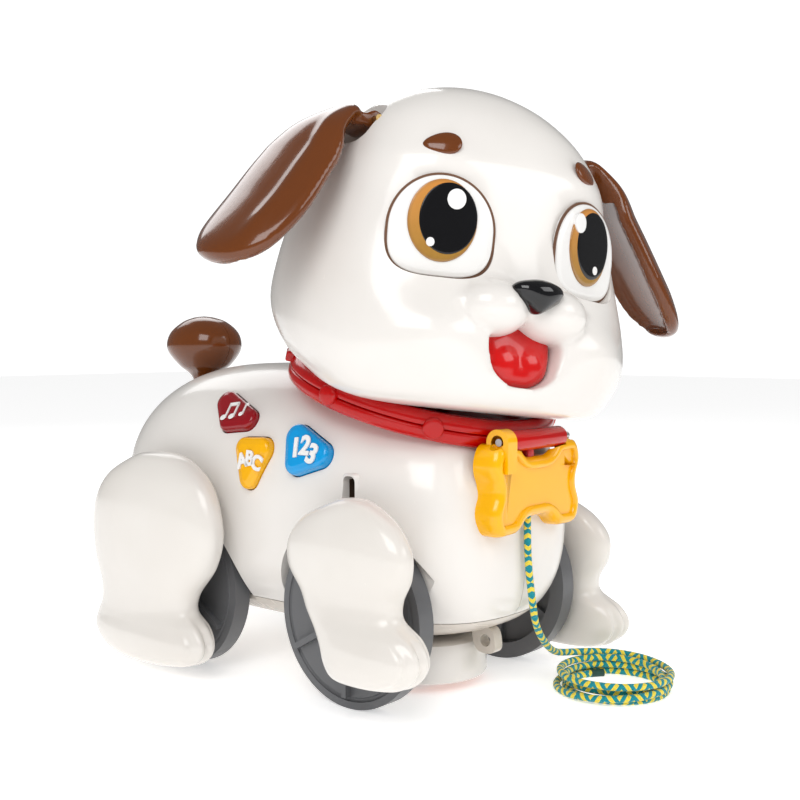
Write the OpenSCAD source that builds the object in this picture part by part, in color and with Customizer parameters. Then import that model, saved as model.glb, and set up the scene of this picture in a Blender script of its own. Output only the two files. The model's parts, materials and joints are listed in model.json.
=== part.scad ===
// Pull-along walking puppy: turning head, flapping ears, wagging tail, wheels that crank the legs,
// three flank buttons, hinged bone tag and a pull cord. Millimetres, +Z up, the puppy looks along -Y.

/* [Wheels and legs] */
// Radius of the four big wheels
wheel_r = 37; // [36:0.5:37.5]
// Distance between the front and rear axles
wheelbase = 104.4; // [100:0.2:110]
// Inner face of a wheel, from the middle plane
wheel_in = 46; // [44:0.5:46]
// Outer face of a wheel, from the middle plane
wheel_out = 54.5; // [54:0.5:57]
// Throw of the crank pin that lifts a leg
crank_r = 6; // [4:0.5:7]
// Radius of the crank pin
crank_pin_r = 3.2; // [2.5:0.1:4]
// Radius of the steel axles
axle_r = 2; // [1.5:0.1:3]
// Radial clearance of a running fit
run_gap = 0.06; // [0.02:0.01:0.1]

/* [Body] */
// Wall thickness of the moulded shells
wall = 2.6; // [2:0.1:3.5]
// Height of the seam between the shells and the base
seam_z = 35; // [33:0.5:35]
// Radius of a wheel arch
arch_r = 40; // [39:0.5:42]

/* [Neck and collar] */
// Forward tilt of the neck axis, degrees
neck_tilt = 17.3; // [16:0.1:18]
// Height of the collar's centre
neck_z = 126; // [125:0.5:127]
// Distance of the collar's centre behind the front axle
neck_y = 6.7; // [6:0.1:7.5]
// Outer radius of the collar
collar_r = 58.6; // [58:0.1:59]
// How far the head is turned at rest, degrees
head_turn = -22.4; // [-45:0.1:45]

/* [Head] */
// Plane that parts the front of the head from its back
head_split_y = 12; // [8:0.5:16]
// Height of the ear hinges, with the head straight
ear_z = 229; // [226:0.5:232]
// Distance of an ear hinge from the middle plane
ear_x = 49; // [47:0.5:51]
// How far the right ear hangs below its moulded angle at rest, degrees
ear_droop_right = 5; // [0:1:12]
// How far the left ear hangs below its moulded angle at rest, degrees
ear_droop_left = 8; // [0:1:20]

/* [Turret] */
// Radius of the drive turret
turret_r = 28; // [26:0.5:29]
// Distance of the turret's centre behind the front axle
turret_y = 6; // [4:0.5:8]

/* [Cord] */
// Diameter of the braided pull cord
cord_d = 3; // [2.6:0.1:3.4]

/* [Hidden] */
$fn = 48;

// The puppy is drawn about its own middle plane and front axle, then moved so that the origin
// is under the centre of the whole toy.
mid_x = 7.39;
axle_y = -41.85;
sides = 28;
rings = 20;

// Body sections from chest to rump: y, half width, low z, high z, squareness
body_rows = [[-48, 12, 52, 84, 2], [-44, 35, 37, 100, 2.3], [-31, 49, 28, 116, 2.5], [0, 57, 22, 127, 2.6],
    [45, 59, 21, 134, 2.6], [90, 59.5, 21, 137, 2.6], [126, 57, 23, 133, 2.5], [155, 46, 28, 119, 2.3],
    [169, 22, 46, 98, 2]];
// Head sections from chin to crown: z, half width, front y, back y, squareness
head_rows = [[121, 24, -60, -18, 2.2], [124, 46, -67, -8, 2.4], [132, 63, -71, 12, 2.5],
    [142, 72, -71, 36, 2.6], [156, 75, -69, 49, 2.6], [175, 73, -65, 51, 2.6], [196, 67, -61, 49, 2.6],
    [215, 60, -57, 41, 2.5], [231, 51, -49, 31, 2.4], [243, 37, -38, 18, 2.2], [250, 20, -26, 5, 2.1],
    [252, 6, -16, -6, 2]];
// Leg sections from sole to shoulder: z, inner x, outer x, front y, back y, squareness
front_leg_rows = [[14, 65, 76, -20, -4, 2.2], [17, 62, 80, -36, 1, 2.4], [24, 61, 83, -50, 3, 2.6],
    [31, 61, 83.5, -54, 3, 2.6], [37, 61, 82, -51, 2, 2.6], [43, 61, 80, -42, 3, 2.5],
    [51, 61, 79, -42, 9, 2.4], [60, 61, 80, -46, 15, 2.4], [70, 61, 80, -45, 15, 2.4],
    [79, 61, 78, -38, 8, 2.4], [85, 62, 75, -28, -4, 2.2], [88, 65, 71, -20, -12, 2]];
rear_leg_rows = [[5, 65, 77, 88, 118, 2.2], [7.5, 62, 81, 74, 130, 2.4], [12, 61, 83, 66, 136, 2.6],
    [18, 61, 83.5, 64, 140, 2.6], [24, 61, 82, 68, 139, 2.6], [30, 61, 81, 76, 137, 2.5],
    [38, 61, 81, 74, 138, 2.4], [50, 61, 82, 63, 142, 2.4], [63, 61, 82.5, 58, 143, 2.4],
    [76, 61, 82, 60, 141, 2.4], [87, 61, 80, 67, 133, 2.4], [95, 62, 76, 80, 119, 2.2],
    [98.5, 65, 72, 92, 108, 2]];
// Tail sections from stem to tip: z, half width, front y, back y, squareness
tail_rows = [[96, 5, 147, 157, 2], [121, 5, 147, 157, 2], [130, 6.5, 145.5, 158.5, 2], [136, 12, 139, 165, 2],
    [144, 17, 133, 171, 2.1], [151, 16, 134, 170, 2.1], [157, 10, 141, 163, 2], [159.5, 3, 149, 155, 2]];
// Ear stations from hinge to tip: x, z, centre y, half breadth, half thickness
ear_rows = [[54, 231, -14, 10, 3.5], [62, 231, -14, 15, 5], [74, 226, -15, 21, 6.5], [86, 212, -17, 24, 7],
    [98, 194, -20, 25, 7.5], [108, 180, -22, 22, 7], [114, 173, -23, 14, 5], [116.5, 170, -23, 5, 2]];

seat_gap = 0.1;
clear = 0.4;
leg_in = 61;
boss_end = 68;
guide_z = 82;
low_step = 2 * crank_r;
wheel_z = wheel_r;
liner_x = wheel_in - 4.5;
deck_h = -6;
head_floor_h = 8;
slot_w = 5.4;
bone_y = -51.8;
bone_z = 108;
bone_back = -44;
bone_front = -55.5;
bone_mid_z = 89;
tail_y = 152;
door_w = 59.4;
door_l = 46.4;
door_y = 51.8;
screw_at = [[-12, 42], [12, 42], [-12, 118], [12, 118]];
tail_z = 100;
tail_hole_r = 10;
turret_top = 20.7;
speaker_x = 49.5;
speaker_y = 50;
speaker_z = 92;
board_z = 62;
post_at = [[-22, 46], [22, 46], [-14, 110], [14, 110]];
drive_r = 9;
coil_c = [37, -68];
coil_r_out = 27;
coil_r_in = 17;
coil_h = 9;
// Route of the hanging cord, from behind the bone tag to the top of the coil
cord_route = [[-2, -50.2, 98], [-2, -50.2, 84], [-2, -50.2, 70], [-1, -50.2, 56], [2, -50, 42], [8, -48, 30],
    [17, -46, 21], [27, -44, 14.5], [36, -43.5, 11.5], [44, -45.5, 10.6]];

function spow(c, p) = sign(c) * pow(abs(c), p);
function blend(a, b, c, d, k) =
    0.5 * (2 * b + (c - a) * k + (2 * a - 5 * b + 4 * c - d) * k * k + (3 * b - a - 3 * c + d) * k * k * k);
function row_at(rows, t) =
    let (n = len(rows), i = min(floor(t), n - 2), p = rows[i], q = rows[i + 1],
        o = i > 0 ? rows[i - 1] : 2 * p - q, r = i < n - 2 ? rows[i + 2] : 2 * q - p)
    blend(o, p, q, r, t - i);
function fine(rows, m) = [for (j = [0:m - 1]) row_at(rows, j / (m - 1) * (len(rows) - 1))];

// Side points of one section of the body, inset by g
function body_ring(r, g) = [for (k = [0:sides - 1]) let (a = 360 * k / sides)
    [(r[1] - g) * spow(cos(a), 2 / r[4]), r[0],
    (r[2] + r[3]) / 2 - ((r[3] - r[2]) / 2 - g) * spow(sin(a), 2 / r[4])]];
// Side points of one upright section: z, half width, front y, back y
function tall_ring(r, g) = [for (k = [0:sides - 1]) let (a = 360 * k / sides)
    [(r[1] - g) * spow(cos(a), 2 / r[4]),
    (r[2] + r[3]) / 2 + ((r[3] - r[2]) / 2 - g) * spow(sin(a), 2 / r[4]), r[0]]];
// Side points of one section of a leg
function leg_ring(r) = [for (k = [0:sides - 1]) let (a = 360 * k / sides)
    [(r[1] + r[2]) / 2 + (r[2] - r[1]) / 2 * spow(cos(a), 2 / r[5]),
    (r[3] + r[4]) / 2 + (r[4] - r[3]) / 2 * spow(sin(a), 2 / r[5]), r[0]]];
// Section of an ear across its path, thinned by g and lowered by drop
function ear_ring(rows, i, g, drop) =
    let (r = rows[i], d = rows[min(i + 1, len(rows) - 1)] - rows[max(i - 1, 0)],
        l = norm([d[0], d[1]]), nx = -d[1] / l, nz = d[0] / l)
    [for (k = [0:sides - 1]) let (a = 360 * k / sides, t = (r[4] - g / 3) * sin(a) - drop)
        [r[0] + t * nx, r[2] + max(r[3] - g, 0.5) * cos(a), r[1] + t * nz]];

// Closed skin through rings of points that run anticlockwise about the way they advance
module skin(rs) {
    n = len(rs[0]);
    m = len(rs);
    side_faces = [for (j = [0:m - 2], k = [0:n - 1]) let (a = j * n + k, b = j * n + (k + 1) % n)
        each [[a, a + n, b + n], [a, b + n, b]]];
    caps = [[for (k = [0:n - 1]) k], [for (k = [n - 1:-1:0]) (m - 1) * n + k]];
    polyhedron([for (r = rs) each r], concat(side_faces, caps), convexity = 8);
}

module placed() translate([mid_x, axle_y, 0]) children();
module mirrored(left) mirror([left ? 0 : 1, 0, 0]) children();
module rod(r, x0, x1) translate([x0, 0, 0]) rotate([0, 90, 0]) cylinder(r = r, h = x1 - x0);
// Neck frame: local z runs along the tilted neck axis from the collar's centre
module at_neck() translate([0, neck_y, neck_z]) rotate([neck_tilt, 0, 0]) children();
// Carries the straight head round the neck axis to its rest pose
module turned_head()
    at_neck() rotate([0, 0, head_turn]) rotate([-neck_tilt, 0, 0]) translate([0, -neck_y, -neck_z]) children();

// Carries a straight head's ear round its hinge; swing is degrees down
module swung(swing) translate([ear_x, 0, ear_z]) rotate([0, swing, 0]) translate([-ear_x, 0, -ear_z]) children();

// ---- Body ----

module body_outer() skin([for (r = fine(body_rows, rings)) body_ring(r, 0)]);
module body_inner() {
    inner = concat([for (r = fine(body_rows, rings)) if (r[0] > -48 + wall && r[0] < 169 - wall) r]);
    skin([for (r = inner) body_ring(r, wall)]);
}
module at_wheels(left) for (y = [0, wheelbase]) translate([0, y, wheel_z]) mirrored(left) children();

module leg_slot(y, z0, z1, grow, x0, x1)
    translate([x0, y - slot_w / 2 - grow, z0 - grow]) cube([x1 - x0, slot_w + 2 * grow, z1 - z0 + 2 * grow]);

// Hollow body on one side, between two heights, with its wheel arches
module body_part(z0, z1) {
    difference() {
        intersection() {
            union() {
                difference() {
                    body_outer();
                    body_inner();
                }
                for (left = [true, false]) intersection() {
                    body_outer();
                    at_wheels(left) rod(arch_r + 2.5, liner_x, 70);
                }
            }
            translate([-100, -100, z0]) cube([200, 400, z1 - z0]);
        }
        for (left = [true, false]) at_wheels(left) {
            rod(arch_r, wheel_in - 2, 80);
            rod(axle_r + run_gap, 30, 80);
        }
    }
}

module shell_half(left) {
    difference() {
        intersection() {
            union() {
                body_part(seam_z + seat_gap, 160);
                for (y = [-2, wheelbase]) mirrored(left) leg_slot(y, y > 50 ? 82 : 81, 94, 1.6, 52, 58.8);
                intersection() {
                    body_outer();
                    union() {
                        for (p = screw_at) {
                            mirrored(p[0] > 0) translate([8, p[1] - 1, seam_z + seat_gap])
                                cube([p[1] < 50 ? 52 : 34, 2, 14]);
                            translate([p[0], p[1], seam_z + seat_gap]) cylinder(r = 4, h = 14);
                        }
                        for (s = [-1, 1]) translate([-6, tail_y + s * 11.6 - 1.2, tail_z - 6]) cube([12, 2.4, 40]);
                    }
                }
            }
            mirrored(left) translate([seat_gap / 2, -100, 0]) cube([100, 400, 200]);
        }
        at_neck() translate([0, 0, deck_h - seat_gap]) cylinder(r = collar_r + 0.3, h = 60);
        for (y = [-2, wheelbase]) mirrored(left) leg_slot(y, y > 50 ? 82 : 81, 94, 0, 40, 80);
        translate([0, tail_y, tail_z - 6]) cylinder(r = tail_hole_r, h = 60);
        translate([0, tail_y, tail_z]) rotate([90, 0, 0]) cylinder(r = 1.5 + seat_gap, h = 26, center = true);
        for (p = screw_at) translate([p[0], p[1], seam_z - 1]) cylinder(r = 1.4 + seat_gap, h = 9.5);
    }
}

module shell_right() color("white") placed() difference() {
    union() {
        shell_half(false);
        for (b = [0:2]) at_button(b) translate([0, 0, -14.6]) linear_extrude(12.6) button_outline(b, clear + 1.8);
    }
    for (b = [0:2]) at_button(b) translate([0, 0, -15]) linear_extrude(27) button_outline(b, clear);
}
module shell_left() color("white") placed() difference() {
    union() {
        shell_half(true);
        intersection() {
            body_outer();
            translate([0, speaker_y, speaker_z]) difference() {
                rod(18, speaker_x + seat_gap, 70);
                rod(14, 40, 80);
            }
        }
    }
    for (i = [0:6]) translate([0, speaker_y + (i > 0 ? 7 * cos(60 * i) : 0),
        speaker_z + (i > 0 ? 7 * sin(60 * i) : 0)]) rod(1.4, 48, 70);
}

module tow_lug() translate([0, -30, 22.5]) difference() {
    union() {
        rod(5.5, -3, 3);
        translate([-3, 0, -1]) cube([6, 12, 6.5]);
    }
    rod(2.6, -5, 5);
}

module base_pan() color("ivory") placed() difference() {
    union() {
        body_part(15, seam_z);
        difference() {
            tow_lug();
            body_outer();
        }
        for (y = [48, 100]) translate([-31, y, 23]) cube([62, 2, 16]);
        for (p = post_at) translate([p[0], p[1], 23]) cylinder(r = 2.5, h = board_z - 23 - seat_gap);
        for (p = screw_at) translate([p[0], p[1], 22]) cylinder(r = 4.5, h = seam_z - 22);
    }
    for (p = screw_at) translate([p[0], p[1], 15]) {
        cylinder(r = 3.3, h = 10);
        cylinder(r = 1.4 + seat_gap, h = 30);
    }
    translate([0, -30, 22.5]) rod(2.6, -5, 5);
    translate([0, turret_y, 0]) cylinder(r = 9 + run_gap, h = 32);
    translate([-door_w / 2 - 0.3, door_y - 0.3, 15]) cube([door_w + 0.6, door_l + 0.6, 15]);
    translate([-25.4, 106.6, 15]) cube([6.8, 9.8, 20]);
}

module battery_door() color("ivory") placed() difference() {
    intersection() {
        body_outer();
        translate([-door_w / 2, door_y, 15]) cube([door_w, door_l, 15]);
    }
    body_inner();
    translate([0, door_y + 4, 15]) cylinder(r = 1.6, h = 20);
}
module door_screw() color("silver") placed() translate([0, door_y + 4, 19.4]) {
    cylinder(r = 2.8, h = 1.5);
    cylinder(r = 1.5, h = 6.4);
}
module body_screws() color("silver") placed() for (p = screw_at) translate([p[0], p[1], 22.8]) {
    cylinder(r = 3, h = 2);
    cylinder(r = 1.4, h = 20);
}
module batteries() color("darkgreen") placed() for (y = [59, 75, 91]) translate([0, y, 34.5]) {
    rod(7.1, -25, 25);
    rod(2.6, 25, 26.2);
}
module main_board() color("green") placed() translate([-26, 42, board_z]) cube([52, 72, 1.6]);
module speaker() color("dimgray") placed() translate([0, speaker_y, speaker_z]) {
    rod(16, speaker_x - 4.5, speaker_x);
    rod(9, speaker_x - 13.5, speaker_x - 4.5);
}
module power_switch() color("orange") placed() translate([-25.1, 107, 20.6]) cube([6.2, 5, 6]);

// ---- Wheels and legs ----

module axle(y) color("silver") placed() translate([0, y, wheel_z]) rod(axle_r, -wheel_out + 1, wheel_out - 1);
module front_axle() axle(0);
module rear_axle() axle(wheelbase);

// Wheel with its web outside and six ribs inside; up sets the crank pin above or below the axle
module wheel(y, left, up) color("dimgray") placed() translate([0, y, wheel_z]) mirrored(left) difference() {
    union() {
        difference() {
            rod(wheel_r, wheel_in, wheel_out);
            rod(wheel_r - 7, wheel_in - 1, wheel_out - 3);
        }
        rod(8, wheel_in, wheel_out - 1);
        for (a = [0:60:300]) rotate([a, 0, 0]) translate([wheel_in + 3, -1.2, 6]) cube([8.5, 2.4, 26]);
        translate([0, 0, up ? crank_r : -crank_r]) rod(crank_pin_r, wheel_out - 1, boss_end - 1.5);
    }
    rod(axle_r + run_gap, wheel_in - 1, wheel_out - 0.8);
    rotate([0, 90, 0]) rotate_extrude() translate([33, wheel_out]) circle(r = 1);
}
module wheel_front_right() wheel(0, false, true);
module wheel_front_left() wheel(0, true, false);
module wheel_rear_right() wheel(wheelbase, false, false);
module wheel_rear_left() wheel(wheelbase, true, true);

// Hollow-backed leg that rides on its wheel's crank pin; drop moves it to the low phase
module leg(rows, y, pin_z, left, drop) color("ivory") placed() mirrored(left) translate([0, 0, drop]) difference() {
    skin([for (r = fine(rows, 24)) leg_ring(r)]);
    translate([0, y, pin_z]) rod(crank_pin_r + run_gap, leg_in - 2, boss_end);
    translate([0, y < 50 ? -2 : y, y < 50 ? guide_z : guide_z + 4]) rod(2.2 + seat_gap, leg_in - 2, boss_end);
}
front_pin_z = wheel_z + crank_r;
rear_pin_z = wheel_z - crank_r;
module leg_front_right() leg(front_leg_rows, 0, front_pin_z, false, 0);
module leg_front_left() leg(front_leg_rows, 0, front_pin_z, true, -low_step);
module leg_rear_right() leg(rear_leg_rows, wheelbase, rear_pin_z, false, 0);
module leg_rear_left() leg(rear_leg_rows, wheelbase, rear_pin_z, true, low_step);

module guide_pin(y, z, left) color("silver") placed() translate([0, y, z]) mirrored(left)
    rod(2.2, 59.4, boss_end - 0.5);
module guide_pin_front_right() guide_pin(-2, guide_z, false);
module guide_pin_front_left() guide_pin(-2, guide_z - low_step, true);
module guide_pin_rear_right() guide_pin(wheelbase, guide_z + 4, false);
module guide_pin_rear_left() guide_pin(wheelbase, guide_z + 4 + low_step, true);

// ---- Drive turret under the chest ----

module at_turret() translate([0, turret_y, 0]) children();
module turret_housing() color("white") placed() at_turret() rotate_extrude() polygon([[0, turret_top - 1.6],
    [turret_r - 2, turret_top - 1.6], [turret_r - 2, 4], [turret_r, 4], [turret_r, turret_top], [9, turret_top],
    [9, 26], [11.5, 26], [11.5, 28], [0, 28]]);
module turret_plate() color("chocolate") placed() at_turret() difference() {
    translate([0, 0, 4.4]) cylinder(r = turret_r - 2.1, h = 2);
    for (x = [-13, 13]) translate([x - 3.4, -12, 0]) cube([6.8, 24, 10]);
}
module turret_motor() color("silver") placed() translate([0, turret_y + 17, 12.8]) rod(6, -9, 9);
module turret_axle() color("silver") placed() translate([0, turret_y, drive_r + 0.1]) rod(1.5, -17, 17);
module turret_wheels() color("dimgray") placed() translate([0, turret_y, drive_r + 0.1]) difference() {
    for (x = [-13, 13]) rod(drive_r - 1.6, x - 2.5, x + 2.5);
    rod(1.5 + seat_gap, -20, 20);
}
module turret_tyres() color("black") placed() translate([0, turret_y, drive_r + 0.1])
    for (x = [-13, 13]) difference() {
        rod(drive_r, x - 2, x + 2);
        rod(drive_r - 1.5, x - 3, x + 3);
    }

// ---- Neck and collar ----

module neck_post() color("lightgray") placed() at_neck() rotate_extrude() polygon([[0, -10], [13, -10],
    [13, deck_h - seat_gap], [8, deck_h - seat_gap], [8, -3.3], [14, -3.3], [14, head_floor_h - 1.1],
    [8, head_floor_h - 1.1], [8, 11], [12, 11], [12, 13.5], [0, 13.5]]);
module collar_lower() color("red") placed() {
    at_neck() rotate_extrude($fn = 96) polygon([[8.1, deck_h], [collar_r - 3, deck_h], [collar_r - 0.8, -5.2],
        [collar_r, -3], [collar_r, -0.6], [collar_r - 0.8, 0], [49, 0], [49, -3.4], [8.1, -3.4]]);
    difference() {
        translate([0, bone_y, bone_z]) {
            rod(4.3, -18.6, 18.6);
            translate([-18.6, 0, -3]) cube([37.2, 9, 6]);
        }
        at_neck() translate([0, 0, -20]) cylinder(r = collar_r - 1, h = 40);
        at_neck() cylinder(r = collar_r + seat_gap, h = 20);
        translate([0, bone_y, bone_z]) rod(1.5 + run_gap, -30, 30);
    }
    translate([cord_route[0][0] - 2.2, cord_route[0][1] - 1.7, cord_route[0][2] + seat_gap]) cube([4.4, 3.4, 7]);
}
module collar_upper() color("red") placed() at_neck() {
    rotate_extrude($fn = 96) polygon([[50, 0.1], [collar_r - 0.8, 0.1], [collar_r, 0.7], [collar_r - 0.2, 3],
        [collar_r - 2.6, 5.4], [52, 5.4], [50, 4]]);
    rotate([0, 0, 135]) translate([collar_r - 3, -4, 1]) cube([6, 8, 5]);
}
module collar_studs() color("red") placed() at_neck()
    for (a = [-180, -135, -45, 0]) rotate([0, 0, a]) rod(4.2, collar_r + 0.1, collar_r + 1.6);

// ---- Head, drawn straight ahead ----

module head_outer() {
    skin([for (r = fine(head_rows, rings)) tall_ring(r, 0)]);
    for (s = [-1, 1]) translate([s * 15, -71, 153]) sphere(r = 16, $fn = 32);
}
module head_inner() skin([for (r = fine(head_rows, rings)) if (r[0] > 121 + wall && r[0] < 252 - wall)
    tall_ring(r, wall)]);
module at_eye(s) translate([s * 33.5, -56.5, 187.5]) rotate([90, 0, s * 20]) children();
module eye_solid(g) translate([0, 0, -5]) cylinder(r = 19 + g, h = 7 + g);
module at_brow(s) translate([s * 34, -53.5, 219]) rotate([72, 0, s * 20]) children();
module nose_solid(g) hull() {
    for (s = [-1, 1]) translate([s * 6.5, -81, 164]) sphere(r = 4 + g, $fn = 20);
    translate([0, -83, 158]) sphere(r = 3 + g, $fn = 20);
}
module tongue_solid(g) hull() {
    for (s = [-1, 1]) translate([s * 5.5, -68, 134]) sphere(r = 6.5 + g, $fn = 20);
    for (s = [-1, 1]) translate([s * 6, -64, 144]) sphere(r = 6.5 + g, $fn = 20);
}
module ear_slot() translate([40, -33, 202]) cube([50, 38, 42]);

module head_whole() {
    difference() {
        union() {
            difference() {
                head_outer();
                head_inner();
            }
            intersection() {
                head_outer();
                at_neck() cylinder(r = 140, h = head_floor_h + 2.6);
            }
        }
        at_neck() translate([0, 0, -60]) cylinder(r = 140, h = 60 + head_floor_h - 1);
        at_neck() cylinder(r = 8 + run_gap, h = 30);
        for (s = [false, true]) mirrored(s) ear_slot();
        for (s = [-1, 1]) {
            at_eye(s) eye_solid(seat_gap);
            at_brow(s) brow_solid(seat_gap);
        }
        nose_solid(seat_gap);
        tongue_solid(seat_gap);
    }
}
module brow_solid(g) translate([0, 0, -3]) cylinder(r = 6 + g, h = 4 + g);

module head_front() color("white") placed() turned_head() intersection() {
    head_whole();
    translate([-100, -200, 100]) cube([200, 200 + head_split_y, 200]);
}
module head_back() color("whitesmoke") placed() turned_head() intersection() {
    head_whole();
    translate([-100, head_split_y + seat_gap, 100]) cube([200, 200, 200]);
}
module nose() color("black") placed() turned_head() nose_solid(0);
module tongue() color("red") placed() turned_head() tongue_solid(0);
module eye(s) color("white") placed() turned_head() at_eye(s) eye_solid(0);
module eye_right() eye(-1);
module eye_left() eye(1);
module brow(s) color("saddlebrown") placed() turned_head() at_brow(s) brow_solid(0);
module brow_right() brow(-1);
module brow_left() brow(1);

ear_fine = fine(ear_rows, 16);
module ear(left, droop) color("saddlebrown") placed() turned_head() mirrored(left) swung(droop) difference() {
    union() {
        skin([for (i = [0:15]) ear_ring(ear_fine, i, 0, 0)]);
        translate([ear_x, -24, ear_z]) rotate([-90, 0, 0]) cylinder(r = 4, h = 20);
        translate([ear_x, -24, ear_z - 2.5]) cube([8, 20, 5]);
    }
    skin([for (i = [4:13]) ear_ring(ear_fine, i, 2.6, 3)]);
    translate([ear_x, -50, ear_z]) rotate([-90, 0, 0]) cylinder(r = 1.5 + run_gap, h = 60);
}
module ear_right() ear(false, ear_droop_right);
module ear_left() ear(true, ear_droop_left);
module ear_pin(left) color("gold") placed() turned_head() mirrored(left)
    translate([ear_x, -27.5, ear_z]) rotate([-90, 0, 0]) cylinder(r = 1.5, h = 27);
module ear_pin_right() ear_pin(false);
module ear_pin_left() ear_pin(true);

// ---- Bone tag ----

module bone_outline(g) offset(g) {
    square([38, 20], center = true);
    for (x = [-20, 20], z = [-8.5, 8.5]) translate([x, z]) circle(r = 9.5, $fn = 32);
}
module bone_tag() color("gold") placed() difference() {
    union() {
        difference() {
            translate([0, bone_back, bone_mid_z]) rotate([90, 0, 0]) linear_extrude(bone_back - bone_front) bone_outline(0);
            skin([for (r = fine(body_rows, rings)) body_ring(r, -0.6)]);
            at_neck() translate([0, 0, deck_h - 2]) cylinder(r = collar_r + 0.6, h = 20);
        }
        for (x = [-25.4, 19.2]) translate([0, bone_y, bone_z]) {
            rod(5.2, x, x + 6.2);
            translate([x, -5.2, -12]) cube([6.2, 5.2, 12]);
        }
    }
    translate([0, bone_front + 1.2, bone_mid_z]) rotate([90, 0, 0]) linear_extrude(5) bone_outline(-3);
    translate([0, -30, bone_mid_z]) rotate([90, 0, 0]) linear_extrude(-30 - bone_front - 3.4) bone_outline(-2.2);
    translate([0, bone_y, bone_z]) {
        rod(1.5 + run_gap, -30, 30);
        rod(4.3 + clear, -19, 19);
        translate([-19, -clear, -3 - clear]) cube([38, 14, 7]);
    }
    translate([cord_route[0][0] - 2.8, bone_front + 3.4, 60]) cube([5.6, 30, 50]);
}
module bone_pin() color("silver") placed() translate([0, bone_y, bone_z]) rod(1.5, -24.5, 24.5);

// ---- Tail ----

module tail_whole() difference() {
    skin([for (r = fine(tail_rows, 16)) tall_ring(r, 0)]);
    translate([0, tail_y, tail_z]) rotate([90, 0, 0]) cylinder(r = 1.5 + run_gap, h = 30, center = true);
}
module tail_half(left) color("saddlebrown") placed() intersection() {
    tail_whole();
    mirrored(left) translate([seat_gap / 2, 100, 90]) cube([100, 100, 100]);
}
module tail_right() tail_half(false);
module tail_left() tail_half(true);
module tail_pin() color("silver") placed() translate([0, tail_y, tail_z]) rotate([90, 0, 0])
    cylinder(r = 1.5, h = 25, center = true);

// ---- Flank buttons ----

// Place of each button on the right flank: x, y, z, tilt up
button_at = [[-51, 69, 116.5, 33], [-58.3, 51.5, 95.5, 8], [-55.8, 22.5, 102.5, 19]];
button_corners = [[[-9, -3.5, 5], [8.5, 4, 5.5], [2, -5.5, 4.5]], [[-5, 6, 5.5], [5, 6, 5], [1, -6, 5]],
    [[-8.5, -1, 5.5], [5.5, 5, 6], [3, -4.5, 6]]];
module at_button(b) translate([button_at[b][0], button_at[b][1], button_at[b][2]])
    rotate([0, button_at[b][3], 0]) rotate([90, 0, -90]) children();
module button_outline(b, g) hull() for (c = button_corners[b]) translate([-c[0], c[1]]) circle(r = c[2] + g, $fn = 32);
module button(b, c) color(c) placed() at_button(b) {
    translate([0, 0, -5]) linear_extrude(7.4) button_outline(b, 0);
    translate([0, 0, -9]) cylinder(r = 3, h = 4);
}
module button_music() button(0, "firebrick");
module button_abc() button(1, "gold");
module button_123() button(2, "deepskyblue");
module button_pads() color("gray") placed() for (b = [0:2]) at_button(b) translate([0, 0, -13])
    cylinder(r = 4, h = 1.8);
module button_board() color("green") placed() for (b = [0:2]) at_button(b) translate([0, 0, -14.5])
    linear_extrude(1.4) button_outline(b, -clear);

// ---- Cord ----

function cord_dir(p, i) = let (d = p[min(i + 1, len(p) - 1)] - p[max(i - 1, 0)]) d / norm(d);
function cord_ring(c, d) =
    let (u = cross(d, [1, 0, 0]) / norm(cross(d, [1, 0, 0])), v = cross(d, u))
    [for (k = [0:7]) c + cord_d / 2 * (u * cos(45 * k) + v * sin(45 * k))];
cord_path = fine(cord_route, 30);
module cord() color("darkcyan") placed() skin([for (i = [0:29]) cord_ring(cord_path[i], cord_dir(cord_path, i))]);
module cord_coil() color("darkcyan") placed() translate([coil_c[0], coil_c[1], 0]) rotate_extrude()
    translate([(coil_r_in + coil_r_out) / 2, coil_h / 2]) square([coil_r_out - coil_r_in, coil_h], center = true);

shell_right();
shell_left();
base_pan();
battery_door();
door_screw();
body_screws();
batteries();
main_board();
speaker();
power_switch();
front_axle();
rear_axle();
wheel_front_right();
wheel_front_left();
wheel_rear_right();
wheel_rear_left();
leg_front_right();
leg_front_left();
leg_rear_right();
leg_rear_left();
guide_pin_front_right();
guide_pin_front_left();
guide_pin_rear_right();
guide_pin_rear_left();
turret_housing();
turret_plate();
turret_motor();
turret_axle();
turret_wheels();
turret_tyres();
neck_post();
collar_lower();
collar_upper();
collar_studs();
head_front();
head_back();
nose();
tongue();
eye_right();
eye_left();
brow_right();
brow_left();
ear_right();
ear_left();
ear_pin_right();
ear_pin_left();
bone_tag();
bone_pin();
tail_right();
tail_left();
tail_pin();
button_music();
button_abc();
button_123();
button_pads();
button_board();
cord();
cord_coil();
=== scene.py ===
"""A pull-along walking puppy in glossy moulded plastic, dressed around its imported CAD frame.

Shapes are drawn in millimetres about the puppy's own middle plane and front axle, as it looks along -Y,
and are then put into the frame in metres. The head's pieces are drawn straight ahead and turned to rest.
"""
import json
from math import acos, atan2, cos, exp, floor, hypot, pi, radians, sin, sqrt

import bpy
from mathutils import Matrix, Vector


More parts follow.
